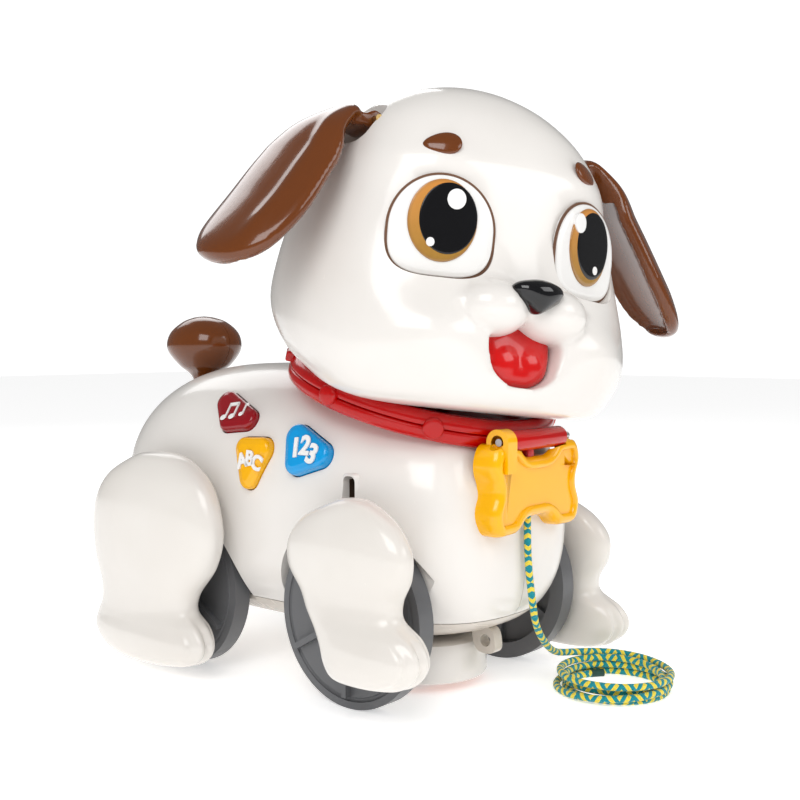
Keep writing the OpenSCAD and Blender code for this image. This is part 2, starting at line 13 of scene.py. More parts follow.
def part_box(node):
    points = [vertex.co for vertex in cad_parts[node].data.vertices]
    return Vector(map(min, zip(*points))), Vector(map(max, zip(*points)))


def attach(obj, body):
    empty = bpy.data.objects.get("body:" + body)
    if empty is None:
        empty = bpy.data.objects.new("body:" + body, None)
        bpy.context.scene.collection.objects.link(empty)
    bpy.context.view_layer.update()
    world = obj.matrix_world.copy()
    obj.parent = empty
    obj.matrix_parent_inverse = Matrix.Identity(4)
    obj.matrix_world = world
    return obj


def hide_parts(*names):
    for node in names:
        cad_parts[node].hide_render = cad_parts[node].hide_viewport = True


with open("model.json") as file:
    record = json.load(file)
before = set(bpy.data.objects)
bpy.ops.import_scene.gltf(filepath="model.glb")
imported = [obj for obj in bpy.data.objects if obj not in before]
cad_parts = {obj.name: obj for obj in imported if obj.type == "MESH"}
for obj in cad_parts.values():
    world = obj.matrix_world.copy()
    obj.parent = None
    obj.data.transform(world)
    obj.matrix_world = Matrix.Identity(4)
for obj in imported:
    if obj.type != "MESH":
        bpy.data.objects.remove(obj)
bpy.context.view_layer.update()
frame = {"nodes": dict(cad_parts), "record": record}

# ---- Driving places, read from the frame, in millimetres ----
MM = 0.001
low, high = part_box("front_axle")
rear_low, rear_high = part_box("rear_axle")
ORIGIN = Vector(((low.x + high.x) / 2, (low.y + high.y) / 2, 0))
TO_FRAME = Matrix.Translation(ORIGIN) @ Matrix.Scale(MM, 4)
TO_TOY = TO_FRAME.inverted()
WHEEL_Z = (low.z + high.z) / 2 / MM
WHEELBASE = (rear_low.y + rear_high.y) / 2 / MM - (low.y + high.y) / 2 / MM
JOINTS = {joint["name"]: joint for joint in frame["record"]["behaviour"]["joints"]}


def joint_place(name):
    """A joint's point in the puppy's own millimetres."""
    return TO_TOY @ Vector(JOINTS[name]["pos_m"])


NECK_CENTRE = joint_place("head_turn")
NECK_TILT = atan2(-JOINTS["head_turn"]["axis"][1], JOINTS["head_turn"]["axis"][2])
HEAD_TURN = radians(-22.4)
NECK = Matrix.Translation(NECK_CENTRE) @ Matrix.Rotation(NECK_TILT, 4, "X")
HEAD = NECK @ Matrix.Rotation(HEAD_TURN, 4, "Z") @ Matrix.Rotation(-NECK_TILT, 4, "X") @ Matrix.Translation(-NECK_CENTRE)

SEAM = 0.35
SEAM_Z = 35.0
DECK = -6.0
HEAD_FLOOR = 6.1
ARCH_R = 40.0
LINER_X = 44.0
COLLAR_R = 58.6
HEAD_SPLIT_Y = 12.0
CORD_D = 3.0


# ---- Modelling helpers ----

def alone(piece):
    """Selects one piece and nothing else."""
    bpy.ops.object.select_all(action="DESELECT")
    piece.select_set(True)
    bpy.context.view_layer.objects.active = piece


def added():
    return bpy.context.view_layer.objects.active


def start():
    bpy.ops.object.select_all(action="DESELECT")


def modify(piece, kind, **settings):
    """Puts a modifier on a piece and applies it."""
    step = piece.modifiers.new(kind.lower(), kind)
    for name, value in settings.items():
        setattr(step, name, value)
    alone(piece)
    bpy.ops.object.modifier_apply(modifier=step.name)
    return piece


def combine(piece, other, operation):
    """Adds, cuts away or keeps what another solid covers, and uses that solid up."""
    modify(piece, "BOOLEAN", operation=operation, object=other, solver="EXACT")
    bpy.data.objects.remove(other)
    return piece


def cut(piece, *others):
    for other in others:
        combine(piece, other, "DIFFERENCE")
    return piece


def keep(piece, other):
    return combine(piece, other, "INTERSECT")


def join(*pieces):
    alone(pieces[0])
    for piece in pieces[1:]:
        piece.select_set(True)
    bpy.ops.object.join()
    return pieces[0]


def moved(piece, matrix):
    piece.data.transform(matrix)
    if matrix.determinant() < 0:
        piece.data.flip_normals()
    return piece


def copy_of(piece, matrix=None):
    other = piece.copy()
    other.data = piece.data.copy()
    bpy.context.collection.objects.link(other)
    return moved(other, matrix) if matrix else other


def outward(piece):
    alone(piece)
    bpy.ops.object.mode_set(mode="EDIT")
    bpy.ops.mesh.select_all(action="SELECT")
    bpy.ops.mesh.remove_doubles(threshold=0.0005)
    bpy.ops.mesh.normals_make_consistent(inside=False)
    bpy.ops.object.mode_set(mode="OBJECT")
    return piece


def block(x, y, z):
    """A box between two limits along each axis."""
    start()
    centre = [(side[0] + side[1]) / 2 for side in (x, y, z)]
    bpy.ops.mesh.primitive_cube_add(size=1, location=centre, scale=[side[1] - side[0] for side in (x, y, z)])
    bpy.ops.object.transform_apply(location=True, rotation=True, scale=True)
    return added()


def rod(radius, begin, end, sides=96):
    """A cylinder from one point to another."""
    start()
    begin, end = Vector(begin), Vector(end)
    along = end - begin
    bpy.ops.mesh.primitive_cylinder_add(vertices=sides, radius=radius, depth=along.length,
        location=(begin + end) / 2, rotation=along.to_track_quat("Z", "Y").to_euler())
    bpy.ops.object.transform_apply(location=True, rotation=True, scale=True)
    return added()


def ball(centre, radii, segments=64, rings=48):
    start()
    bpy.ops.mesh.primitive_uv_sphere_add(segments=segments, ring_count=rings, radius=1, location=centre, scale=radii)
    bpy.ops.object.transform_apply(location=True, rotation=True, scale=True)
    return added()


def softened(piece, voxel, rounds):
    """Melts a joined solid into one skin with rounded edges."""
    modify(piece, "REMESH", mode="VOXEL", voxel_size=voxel, use_smooth_shade=True)
    modify(piece, "SMOOTH", factor=0.5, iterations=rounds)
    return piece


def turned_profile(points, steps=144, axis="Z"):
    """Spins an outline of (radius, height) points about the local Z axis into a closed ring or disc."""
    start()
    bpy.ops.mesh.primitive_circle_add(vertices=len(points), radius=1, fill_type="NOTHING")
    piece = added()
    for vertex, (radius, height) in zip(piece.data.vertices, points):
        vertex.co = (radius, 0, height)
    alone(piece)
    bpy.ops.object.mode_set(mode="EDIT")
    bpy.ops.mesh.select_all(action="SELECT")
    bpy.ops.mesh.spin(steps=steps, angle=2 * pi, center=(0, 0, 0), axis=(0, 0, 1))
    bpy.ops.object.mode_set(mode="OBJECT")
    return outward(piece)


def rounded(corners, radius, steps=5):
    """Rounds every corner of a closed outline with an arc of up to the radius given."""
    points = []
    count = len(corners)
    for i, corner in enumerate(corners):
        here = Vector(corner)
        back, on = Vector(corners[i - 1]) - here, Vector(corners[(i + 1) % count]) - here
        reach = min(radius, back.length * 0.45, on.length * 0.45)
        a, b = here + back.normalized() * reach, here + on.normalized() * reach
        for k in range(steps + 1):
            t = k / steps
            points.append(tuple((1 - t) ** 2 * a + 2 * t * (1 - t) * here + t * t * b))
    return points


def plate(points, depth, bulge=0.0, edge=0.0):
    """A plate with its front at local z = 0: an outline in XY, its edge rounded and its front domed."""
    start()
    bpy.ops.mesh.primitive_circle_add(vertices=len(points), radius=1, fill_type="NGON")
    piece = added()
    for vertex, point in zip(piece.data.vertices, points):
        vertex.co = (point[0], point[1], -depth)
    alone(piece)
    bpy.ops.object.mode_set(mode="EDIT")
    bpy.ops.mesh.select_all(action="SELECT")
    bpy.ops.mesh.extrude_region_move(TRANSFORM_OT_translate={"value": (0, 0, depth - edge)})
    rounds = 5 if edge else 0
    for k in range(rounds):
        a, b = pi / 2 * k / rounds, pi / 2 * (k + 1) / rounds
        bpy.ops.mesh.inset(thickness=edge * (cos(a) - cos(b)), depth=edge * (sin(b) - sin(a)))
    for k in range(4 if bulge else 0):
        bpy.ops.mesh.inset(thickness=0.45, depth=bulge * (0.46 - 0.14 * k))
    bpy.ops.object.mode_set(mode="OBJECT")
    return outward(piece)


def grown(points, by):
    """An outline moved outwards, or inwards where the distance is negative."""
    made = []
    for i, (x, y) in enumerate(points):
        (ax, ay), (next_x, next_y) = points[i - 1], points[(i + 1) % len(points)]
        length = hypot(next_x - ax, next_y - ay)
        made.append((x + by * (next_y - ay) / length * winding(points), y - by * (next_x - ax) / length * winding(points)))
    return made


def winding(points):
    return 1 if sum(a[0] * b[1] - b[0] * a[1] for a, b in zip(points, points[1:] + points[:1])) > 0 else -1


def stack(outline, levels):
    """A solid whose rings are one outline at several offsets and heights, closed at both ends."""
    start()
    bpy.ops.mesh.primitive_circle_add(vertices=len(outline), radius=1)
    piece = added()
    count, vertices, faces = len(outline), [], []
    for by, height in levels:
        vertices += [(x, y, height) for x, y in grown(outline, by)]
    for k in range(len(levels) - 1):
        faces += [(k * count + i, k * count + (i + 1) % count, (k + 1) * count + (i + 1) % count, (k + 1) * count + i)
            for i in range(count)]
    faces += [tuple(range(count)), tuple(range((len(levels) - 1) * count, len(levels) * count))]
    piece.data.clear_geometry()
    piece.data.from_pydata(vertices, [], faces)
    return outward(piece)


def finish(piece, name, body, material, slot, replaces=(), turned=False, angle=38):
    """Puts a piece into the frame, names it, and gives it its body and material; the slot it is handed is not used."""
    if turned:
        piece.data.transform(HEAD)
    piece.data.transform(TO_FRAME)
    piece.name = piece.data.name = name
    piece.data.materials.clear()
    piece.data.materials.append(material)
    for face in piece.data.polygons:
        face.material_index = 0
    alone(piece)
    bpy.ops.object.shade_smooth_by_angle(angle=radians(angle))
    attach(piece, body)
    if replaces:
        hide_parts(*replaces)
    return piece


# ---- Lofts ----

def power(value, exponent):
    return (1 if value >= 0 else -1) * abs(value) ** exponent


def row_at(rows, u):
    """The section at u, from 0 to 1, on a smooth curve through the rows."""
    t = u * (len(rows) - 1)
    i = min(int(floor(t)), len(rows) - 2)
    k = t - i
    p, q = rows[i], rows[i + 1]
    o = rows[i - 1] if i else [2 * a - b for a, b in zip(p, q)]
    r = rows[i + 2] if i < len(rows) - 2 else [2 * b - a for a, b in zip(p, q)]
    return [0.5 * (2 * b + (c - a) * k + (2 * a - 5 * b + 4 * c - d) * k * k + (3 * b - a - 3 * c + d) * k ** 3)
        for a, b, c, d in zip(o, p, q, r)]


def body_point(row, a, size):
    y, half, z0, z1, square = row
    return Vector((half * size * power(cos(a), 2 / square), y, (z0 + z1) / 2 - (z1 - z0) / 2 * size * power(sin(a), 2 / square)))


def tall_point(row, a, size):
    z, half, y0, y1, square = row
    return Vector((half * size * power(cos(a), 2 / square), (y0 + y1) / 2 + (y1 - y0) / 2 * size * power(sin(a), 2 / square), z))


def leg_point(row, a, size):
    z, x0, x1, y0, y1, square = row
    return Vector(((x0 + x1) / 2 + (x1 - x0) / 2 * size * power(cos(a), 2 / square),
        (y0 + y1) / 2 + (y1 - y0) / 2 * size * power(sin(a), 2 / square), z))


def loft(rows, point, segments, rings, cap=0.03, shape=None):
    """A ball whose rings are drawn out to the sections of a row list, with rounded ends."""
    start()
    bpy.ops.mesh.primitive_uv_sphere_add(segments=segments, ring_count=rings, radius=1)
    piece = added()
    for vertex in piece.data.vertices:
        co = vertex.co
        u = acos(max(-1, min(1, co.z))) / pi
        near = min(u, 1 - u)
        size = sqrt(max(0, 1 - (1 - near / cap) ** 2)) if near < cap else 1
        place = point(row_at(rows, u), atan2(co.y, co.x), size)
        vertex.co = shape(place) if shape else place
    return outward(piece)


BODY_ROWS = [[-48, 12, 52, 84, 2], [-44, 35, 37, 100, 2.3], [-31, 49, 28, 116, 2.5], [0, 57, 22, 127, 2.6],
    [45, 59, 21, 134, 2.6], [90, 59.5, 21, 137, 2.6], [126, 57, 23, 133, 2.5], [155, 46, 28, 119, 2.3],
    [169, 22, 46, 98, 2]]
HEAD_ROWS = [[117.5, 34, -56, -14, 2.2], [120, 54, -66, 2, 2.35], [127.5, 64, -70, 14, 2.25],
    [139, 71.5, -71.5, 33, 2.4], [156, 75, -69, 49, 2.35], [175, 73, -65, 51, 2.25], [196, 67, -61, 49, 2.3],
    [215, 60, -57, 41, 2.5], [231, 51, -49, 31, 2.4], [243, 37, -38, 18, 2.2], [250, 20, -26, 5, 2.1],
    [252, 6, -16, -6, 2]]
FRONT_LEG_ROWS = [[18.5, 65, 76, -30, -16, 2.2], [20, 62, 80, -44, -9, 2.5], [25.5, 61, 83, -52, -7, 2.7],
    [32, 61, 83.5, -54, -5, 2.6], [38, 61, 82, -50, -1, 2.6], [44, 61, 80, -41, 4.5, 2.5],
    [51, 61, 79, -40.5, 9, 2.4], [60, 61, 80, -45, 15, 2.4], [70, 61, 80, -45, 15, 2.4],
    [79, 61, 78, -38, 8, 2.4], [85, 62, 75, -28, -4, 2.2], [88, 65, 71, -20, -12, 2]]
REAR_LEG_ROWS = [[5, 65, 77, 88, 118, 2.2], [7.5, 62, 81, 74, 130, 2.4], [12, 61, 83, 66, 136, 2.6],
    [18, 61, 83.5, 64, 140, 2.6], [24, 61, 82, 68, 139, 2.6], [30, 61, 81, 76, 137, 2.5],
    [38, 61, 81, 74, 138, 2.4], [50, 61, 82, 63, 142, 2.4], [63, 61, 82.5, 58, 143, 2.4],
    [76, 61, 82, 60, 141, 2.4], [87, 61, 80, 67, 133, 2.4], [95, 62, 76, 80, 119, 2.2],
    [98.5, 65, 72, 92, 108, 2]]
TAIL_ROWS = [[96, 5, 147, 157, 2], [120, 5, 147, 157, 2], [129, 6, 146, 158.5, 2], [135, 12.5, 138, 165, 2.1],
    [143, 17.5, 132.5, 171.5, 2.1], [151, 16.5, 133.5, 170, 2.1], [157, 11, 140, 163, 2], [160, 3.5, 149, 155, 2]]
EAR_ROWS = [[54, 231, -14, 10, 3.5], [62, 231, -14, 15, 5], [74, 226, -15, 21, 6.5], [86, 212, -17, 24, 7],
    [98, 194, -20, 25, 7.5], [108, 180, -22, 22, 7], [114, 173, -23, 14, 5], [116.5, 170, -23, 5, 2]]


# ---- Camera ----

CAMERA_PLACE = Vector((-389.9, -313.2, 147.7))
CAMERA_AZIMUTH = radians(49.545)
CAMERA_PITCH = radians(2.951)
LENS = 52.14


def make_camera():
    lens = bpy.data.cameras.new("camera")
    lens.sensor_width = 36
    lens.lens = LENS
    lens.clip_start = 0.01
    camera = bpy.data.objects.new("camera", lens)
    bpy.context.collection.objects.link(camera)
    back = Vector((-sin(CAMERA_AZIMUTH) * cos(CAMERA_PITCH), -cos(CAMERA_AZIMUTH) * cos(CAMERA_PITCH), sin(CAMERA_PITCH)))
    right = Vector((cos(CAMERA_AZIMUTH), -sin(CAMERA_AZIMUTH), 0))
    turn = Matrix((right, back.cross(right), back)).transposed().to_4x4()
    camera.matrix_world = Matrix.Translation(TO_FRAME @ CAMERA_PLACE) @ turn
    bpy.context.scene.camera = camera


make_camera()


# ---- Materials ----

def socket(group, name, kind, way, value=None):
    made = group.interface.new_socket(name=name, in_out=way, socket_type=kind)
    if value is not None:
        made.default_value = value
    return made


def node(tree, kind, **settings):
    made = tree.nodes.new(kind)
    for name, value in settings.items():
        setattr(made, name, value)
    return made


def sums(tree, operation, a, b=None, clamp=False):
    """A math node fed by numbers or by other nodes' outputs."""
    made = node(tree, "ShaderNodeMath", operation=operation, use_clamp=clamp)
    for place, value in enumerate((a, b)):
        if value is None:
            continue
        if isinstance(value, (int, float)):
            made.inputs[place].default_value = value
        else:
            tree.links.new(value, made.inputs[place])
    return made.outputs[0]


def mixed(tree, factor, a, b):
    """Mixes two colours, each a value or another node's output."""
    made = node(tree, "ShaderNodeMix", data_type="RGBA")
    for place, value in ((0, factor), (6, a), (7, b)):
        if isinstance(value, (int, float, tuple)):
            made.inputs[place].default_value = value if place == 0 else (*value[:3], 1)
        else:
            tree.links.new(value, made.inputs[place])
    return made.outputs[2]


def noise(tree, place, scale, detail=2.0, stretch=None):
    made = node(tree, "ShaderNodeTexNoise")
    made.inputs["Scale"].default_value = scale
    made.inputs["Detail"].default_value = detail
    if stretch:
        mapping = node(tree, "ShaderNodeMapping")
        mapping.inputs["Scale"].default_value = stretch
        tree.links.new(place, mapping.inputs["Vector"])
        place = mapping.outputs[0]
    tree.links.new(place, made.inputs["Vector"])
    return made.outputs[0]


def make_moulding_group():
    """Moulded plastic: faint mottling of its colour, hairline handling marks and an orange-peel skin."""
    group = bpy.data.node_groups.new("moulded_skin", "ShaderNodeTree")
    for name, kind, value in (("Colour", "NodeSocketColor", (1, 1, 1, 1)), ("Shade", "NodeSocketColor", (0.9, 0.9, 0.9, 1)),
            ("Gloss", "NodeSocketFloat", 0.2), ("Marks", "NodeSocketFloat", 0.1), ("Peel", "NodeSocketFloat", 1.0)):
        socket(group, name, kind, "INPUT", value)
    for name, kind in (("Colour", "NodeSocketColor"), ("Roughness", "NodeSocketFloat"), ("Height", "NodeSocketFloat")):
        socket(group, name, kind, "OUTPUT")
    inside, out = node(group, "NodeGroupInput"), node(group, "NodeGroupOutput")
    place = node(group, "ShaderNodeTexCoord").outputs["Object"]
    broad = noise(group, place, 22, 3)
    spread = sums(group, "MULTIPLY", sums(group, "SUBTRACT", broad, 0.42, clamp=True), 2.2, clamp=True)
    group.links.new(mixed(group, spread, inside.outputs["Colour"], inside.outputs["Shade"]), out.inputs["Colour"])
    hair = noise(group, place, 90, 4, (0.35, 6.0, 1.4))
    marks = sums(group, "MULTIPLY", sums(group, "SUBTRACT", hair, 0.56, clamp=True), 4.0, clamp=True)
    rough = sums(group, "ADD", inside.outputs["Gloss"], sums(group, "MULTIPLY", marks, inside.outputs["Marks"]))
    group.links.new(rough, out.inputs["Roughness"])
    fine = noise(group, place, 420, 2)
    waves = noise(group, place, 130, 1)
    height = sums(group, "MULTIPLY", sums(group, "ADD", sums(group, "MULTIPLY", fine, 0.35), waves), inside.outputs["Peel"])
    group.links.new(height, out.inputs["Height"])
    return group


MOULDED = make_moulding_group()


def blank(name, **values):
    """A material with its Principled shader and plain values on that shader's own sockets."""
    material = bpy.data.materials.new(name)
    material.use_nodes = True
    shader = material.node_tree.nodes["Principled BSDF"]
    for key, value in values.items():
        shader.inputs[key.replace("_", " ")].default_value = value
    return material, material.node_tree, shader


def bump(tree, shader, height, distance, strength=1.0):
    made = node(tree, "ShaderNodeBump")
    made.inputs["Strength"].default_value = strength
    made.inputs["Distance"].default_value = distance
    tree.links.new(height, made.inputs["Height"])
    tree.links.new(made.outputs[0], shader.inputs["Normal"])


def plastic(name, colour, shade, gloss=0.16, marks=0.10, peel=1.0, coat=0.5):
    """Moulded plastic of one colour, from the shared skin."""
    material, tree, shader = blank(name, Coat_Weight=coat * 0.5, Coat_Roughness=0.06, Specular_IOR_Level=0.35)
    skin = node(tree, "ShaderNodeGroup", node_tree=MOULDED)
    skin.inputs["Colour"].default_value = (*colour, 1)
    skin.inputs["Shade"].default_value = (*shade, 1)
    skin.inputs["Gloss"].default_value = gloss
    skin.inputs["Marks"].default_value = marks
    skin.inputs["Peel"].default_value = peel
    tree.links.new(skin.outputs["Colour"], shader.inputs["Base Color"])
    tree.links.new(skin.outputs["Roughness"], shader.inputs["Roughness"])
    bump(tree, shader, skin.outputs["Height"], 0.00004)
    return material


def turned_metal(name, colour, rough=0.28):
    material, tree, shader = blank(name, Metallic=1.0)
    place = node(tree, "ShaderNodeTexCoord").outputs["Object"]
    lines = noise(tree, place, 60, 3, (30.0, 1.0, 1.0))
    tree.links.new(mixed(tree, lines, colour, tuple(c * 0.78 for c in colour)), shader.inputs["Base Color"])
    tree.links.new(sums(tree, "ADD", sums(tree, "MULTIPLY", lines, 0.15), rough), shader.inputs["Roughness"])
    bump(tree, shader, lines, 0.00003)
    return material


def iris_material():
    """Printed gold: orange at the top, olive below, with fine rays and a darker rim."""
    material, tree, shader = blank("printed_iris", Coat_Weight=1.0, Coat_Roughness=0.03, Roughness=0.3)
    lift = node(tree, "ShaderNodeAttribute", attribute_name="lift").outputs["Fac"]
    spread = node(tree, "ShaderNodeAttribute", attribute_name="spread").outputs["Fac"]
    ramp = node(tree, "ShaderNodeValToRGB")
    ramp.color_ramp.elements[0].color = (0.30, 0.16, 0.012, 1)
    ramp.color_ramp.elements[1].color = (0.62, 0.23, 0.03, 1)
    middle = ramp.color_ramp.elements.new(0.55)
    middle.color = (0.50, 0.215, 0.035, 1)
    tree.links.new(lift, ramp.inputs[0])
    place = node(tree, "ShaderNodeTexCoord").outputs["Object"]
    rays = noise(tree, place, 260, 3)
    colour = mixed(tree, sums(tree, "MULTIPLY", rays, 0.25), ramp.outputs[0], (0.70, 0.36, 0.08))
    rim = sums(tree, "MULTIPLY", sums(tree, "SUBTRACT", spread, 0.9, clamp=True), 6.0, clamp=True)
    tree.links.new(mixed(tree, rim, colour, (0.27, 0.11, 0.01)), shader.inputs["Base Color"])
    return material


def braid_material():
    """A two-colour braid: strands cross over each other along the cord's own U and round its V."""
    material, tree, shader = blank("braided_cord", Roughness=0.75, Sheen_Weight=0.25, Specular_IOR_Level=0.3)
    apart = node(tree, "ShaderNodeSeparateXYZ")
    tree.links.new(node(tree, "ShaderNodeUVMap", uv_map="along").outputs[0], apart.inputs[0])
    run, turn = apart.outputs[0], apart.outputs[1]
    right = sums(tree, "ADD", run, sums(tree, "MULTIPLY", turn, 3))
    left = sums(tree, "SUBTRACT", run, sums(tree, "MULTIPLY", turn, 3))
    right_index, left_index = sums(tree, "FLOOR", right), sums(tree, "FLOOR", left)
    over = sums(tree, "FLOORED_MODULO", sums(tree, "ADD", right_index, left_index), 2)
    right_gold = sums(tree, "LESS_THAN", sums(tree, "FLOORED_MODULO", right_index, 2), 0.5)
    left_gold = sums(tree, "LESS_THAN", sums(tree, "FLOORED_MODULO", left_index, 3), 0.5)
    under = sums(tree, "SUBTRACT", 1, over)
    gold = sums(tree, "ADD", sums(tree, "MULTIPLY", over, right_gold), sums(tree, "MULTIPLY", under, left_gold))
    threads = noise(tree, node(tree, "ShaderNodeTexCoord").outputs["Object"], 1500, 2)
    teal = mixed(tree, threads, (0.0, 0.17, 0.23), (0.0, 0.33, 0.38))
    yellow = mixed(tree, threads, (0.70, 0.52, 0.02), (0.95, 0.80, 0.10))
    tree.links.new(mixed(tree, gold, teal, yellow), shader.inputs["Base Color"])
    crown = sums(tree, "MULTIPLY", sums(tree, "PINGPONG", right, 0.5), sums(tree, "PINGPONG", left, 0.5))
    bump(tree, shader, sums(tree, "ADD", crown, sums(tree, "MULTIPLY", threads, 0.08)), 0.0012)
    return material


def plain(name, colour, rough, metallic=0.0, scale=300, depth=0.00005):
    """A quiet inner part: one colour with a fine grain."""
    material, tree, shader = blank(name, Metallic=metallic)
    place = node(tree, "ShaderNodeTexCoord").outputs["Object"]
    grain = noise(tree, place, scale, 3)
    tree.links.new(mixed(tree, grain, tuple(c * 0.8 for c in colour), colour), shader.inputs["Base Color"])
    tree.links.new(sums(tree, "ADD", sums(tree, "MULTIPLY", grain, 0.2), rough), shader.inputs["Roughness"])
    bump(tree, shader, grain, depth)
    return material


WHITE = plastic("white_gloss", (0.80, 0.77, 0.735), (0.765, 0.73, 0.69), gloss=0.2, coat=0.6)
IVORY = plastic("ivory_gloss", (0.63, 0.575, 0.51), (0.60, 0.54, 0.475), gloss=0.24, coat=0.4)
LEG_WHITE = plastic("leg_gloss", (0.78, 0.745, 0.70), (0.74, 0.70, 0.65), gloss=0.2, coat=0.6)
EYE_WHITE = plastic("eye_white", (0.86, 0.85, 0.83), (0.84, 0.82, 0.80), gloss=0.12, marks=0.04, peel=0.4, coat=0.8)
BROWN = plastic("brown_gloss", (0.145, 0.038, 0.007), (0.110, 0.027, 0.004), gloss=0.17, coat=0.9)
RED = plastic("red_gloss", (0.52, 0.001, 0.001), (0.43, 0.001, 0.001), gloss=0.18, coat=0.35)
MOUTH_RED = plastic("mouth_red", (0.60, 0.003, 0.003), (0.48, 0.002, 0.002), gloss=0.2, coat=0.8)
BUTTON_RED = plastic("button_red", (0.29, 0.003, 0.009), (0.25, 0.002, 0.007), gloss=0.2, coat=0.8)
YELLOW = plastic("yellow_gloss", (0.93, 0.46, 0.0), (0.90, 0.42, 0.0), gloss=0.18, coat=0.8)
BLUE = plastic("blue_gloss", (0.0, 0.32, 0.72), (0.0, 0.28, 0.66), gloss=0.2, coat=0.8)
PRINT_WHITE = plastic("print_white", (0.85, 0.84, 0.83), (0.82, 0.81, 0.80), gloss=0.35, marks=0.05, coat=0.2)
WHEEL_GREY = plastic("wheel_grey", (0.125, 0.127, 0.133), (0.105, 0.107, 0.112), gloss=0.38, marks=0.2, coat=0.15)
NOSE_BLACK = plastic("nose_black", (0.004, 0.004, 0.005), (0.006, 0.006, 0.007), gloss=0.08, peel=0.5, coat=1.0)
PUPIL_BLACK = plastic("pupil_black", (0.003, 0.003, 0.004), (0.005, 0.005, 0.006), gloss=0.12, peel=0.4, coat=1.0)
# Painted shade: a matt brown for the floor of the thin gap round each eye panel, standing in for the shade in that gap.
PAINTED_GAP_SHADE = plastic("painted_gap_shade", (0.16, 0.075, 0.04), (0.12, 0.055, 0.03), gloss=0.5, coat=0.0)
AMBER = plastic("turret_amber", (0.42, 0.115, 0.02), (0.35, 0.09, 0.014), gloss=0.25, coat=0.4)
IRIS = iris_material()
BRAID = braid_material()
CORD_END = plain("cord_end", (0.01, 0.06, 0.05), 0.5)
STEEL = turned_metal("turned_steel", (0.62, 0.62, 0.63))
GOLD_PIN = turned_metal("gold_pin", (0.72, 0.50, 0.20))
INNER_GREY = plain("inner_grey", (0.22, 0.22, 0.23), 0.45)
BOARD = plain("board_green", (0.01, 0.12, 0.04), 0.3)
CELL = plain("cell_wrap", (0.02, 0.16, 0.07), 0.25)
SWITCH = plain("switch_orange", (0.75, 0.20, 0.01), 0.4)
TREAD = plain("tread_rubber", (0.02, 0.02, 0.02), 0.7, scale=900, depth=0.0002)
# Painted shade: a dark brown for the backs and walls of the guide slots, standing in for the shade inside them.
PAINTED_SLOT_SHADE = plain("painted_slot_shade", (0.055, 0.028, 0.015), 0.6)

CAD_FINISHES = {
    WHEEL_GREY: ("wheel_front_right", "wheel_front_left", "wheel_rear_right", "wheel_rear_left", "turret_wheels"),
    STEEL: ("front_axle", "rear_axle", "guide_pin_front_right", "guide_pin_front_left", "guide_pin_rear_right",
        "guide_pin_rear_left", "turret_motor", "turret_axle", "bone_pin", "tail_pin", "door_screw", "body_screws"),
    GOLD_PIN: ("ear_pin_right", "ear_pin_left"), IVORY: ("battery_door",), AMBER: ("turret_plate",),
    INNER_GREY: ("speaker", "neck_post", "button_pads"), BOARD: ("main_board", "button_board"),
    CELL: ("batteries",), SWITCH: ("power_switch",), TREAD: ("turret_tyres",)}


def dress_cad_nodes():
    for material, names in CAD_FINISHES.items():
        for name in names:
            mesh = frame["nodes"][name].data
            mesh.materials.clear()
            mesh.materials.append(material)


dress_cad_nodes()


# ---- Pull cord ----

CORD_ROUTE = [[-2, -50.2, 98], [-2, -50.2, 84], [-2, -50.2, 70], [-1, -50.2, 56], [2, -50, 42], [8, -48, 30],
    [17, -46, 21], [27, -44, 14.5], [36, -43.5, 11.5]]
COIL_CENTRE = (37, -68)
COIL_START = radians(72.7)
COIL_TURNS = 4.1
# Height and radius of the winding after so many turns
COIL_HEIGHTS = [(0, 10.8), (0.3, 8.0), (1.15, 7.9), (1.5, 4.8), (2.45, 4.7), (2.8, 1.55), (9, 1.55)]
COIL_RADII = [(0, 23.4), (0.5, 24.8), (1.3, 20.9), (1.7, 20.4), (2.6, 25.0), (3.0, 24.4), (4.1, 19.6)]


def between(knots, s):
    for (s0, v0), (s1, v1) in zip(knots, knots[1:]):
        if s <= s1:
            return v0 + (v1 - v0) * (s - s0) / (s1 - s0)
    return knots[-1][1]


def cord_line():
    """The cord's points: the hanging route as listed, then the coil by its own rule."""
    points = [Vector(row_at(CORD_ROUTE, i / 60)) for i in range(60)]
    steps = int(COIL_TURNS * 48)
    for i in range(steps + 1):
        s = i / 48
        a = COIL_START - 2 * pi * s
        radius = between(COIL_RADII, s)
        points.append(Vector((COIL_CENTRE[0] + radius * cos(a), COIL_CENTRE[1] + radius * sin(a), between(COIL_HEIGHTS, s))))
    for _ in range(6):
        points = [points[0]] + [(a + 2 * b + c) / 4 for a, b, c in zip(points, points[1:], points[2:])] + [points[-1]]
    return points


def even(points, gap):
    """The same line with points a steady gap apart."""
    marks = [0.0]
    for a, b in zip(points, points[1:]):
        marks.append(marks[-1] + (b - a).length)
    count = max(2, round(marks[-1] / gap))
    made, i = [], 0
    for k in range(count + 1):
        s = marks[-1] * k / count
        while i < len(points) - 2 and marks[i + 1] < s:
            i += 1
        share = (s - marks[i]) / (marks[i + 1] - marks[i])
        made.append(points[i].lerp(points[i + 1], share))
    return made, marks[-1]


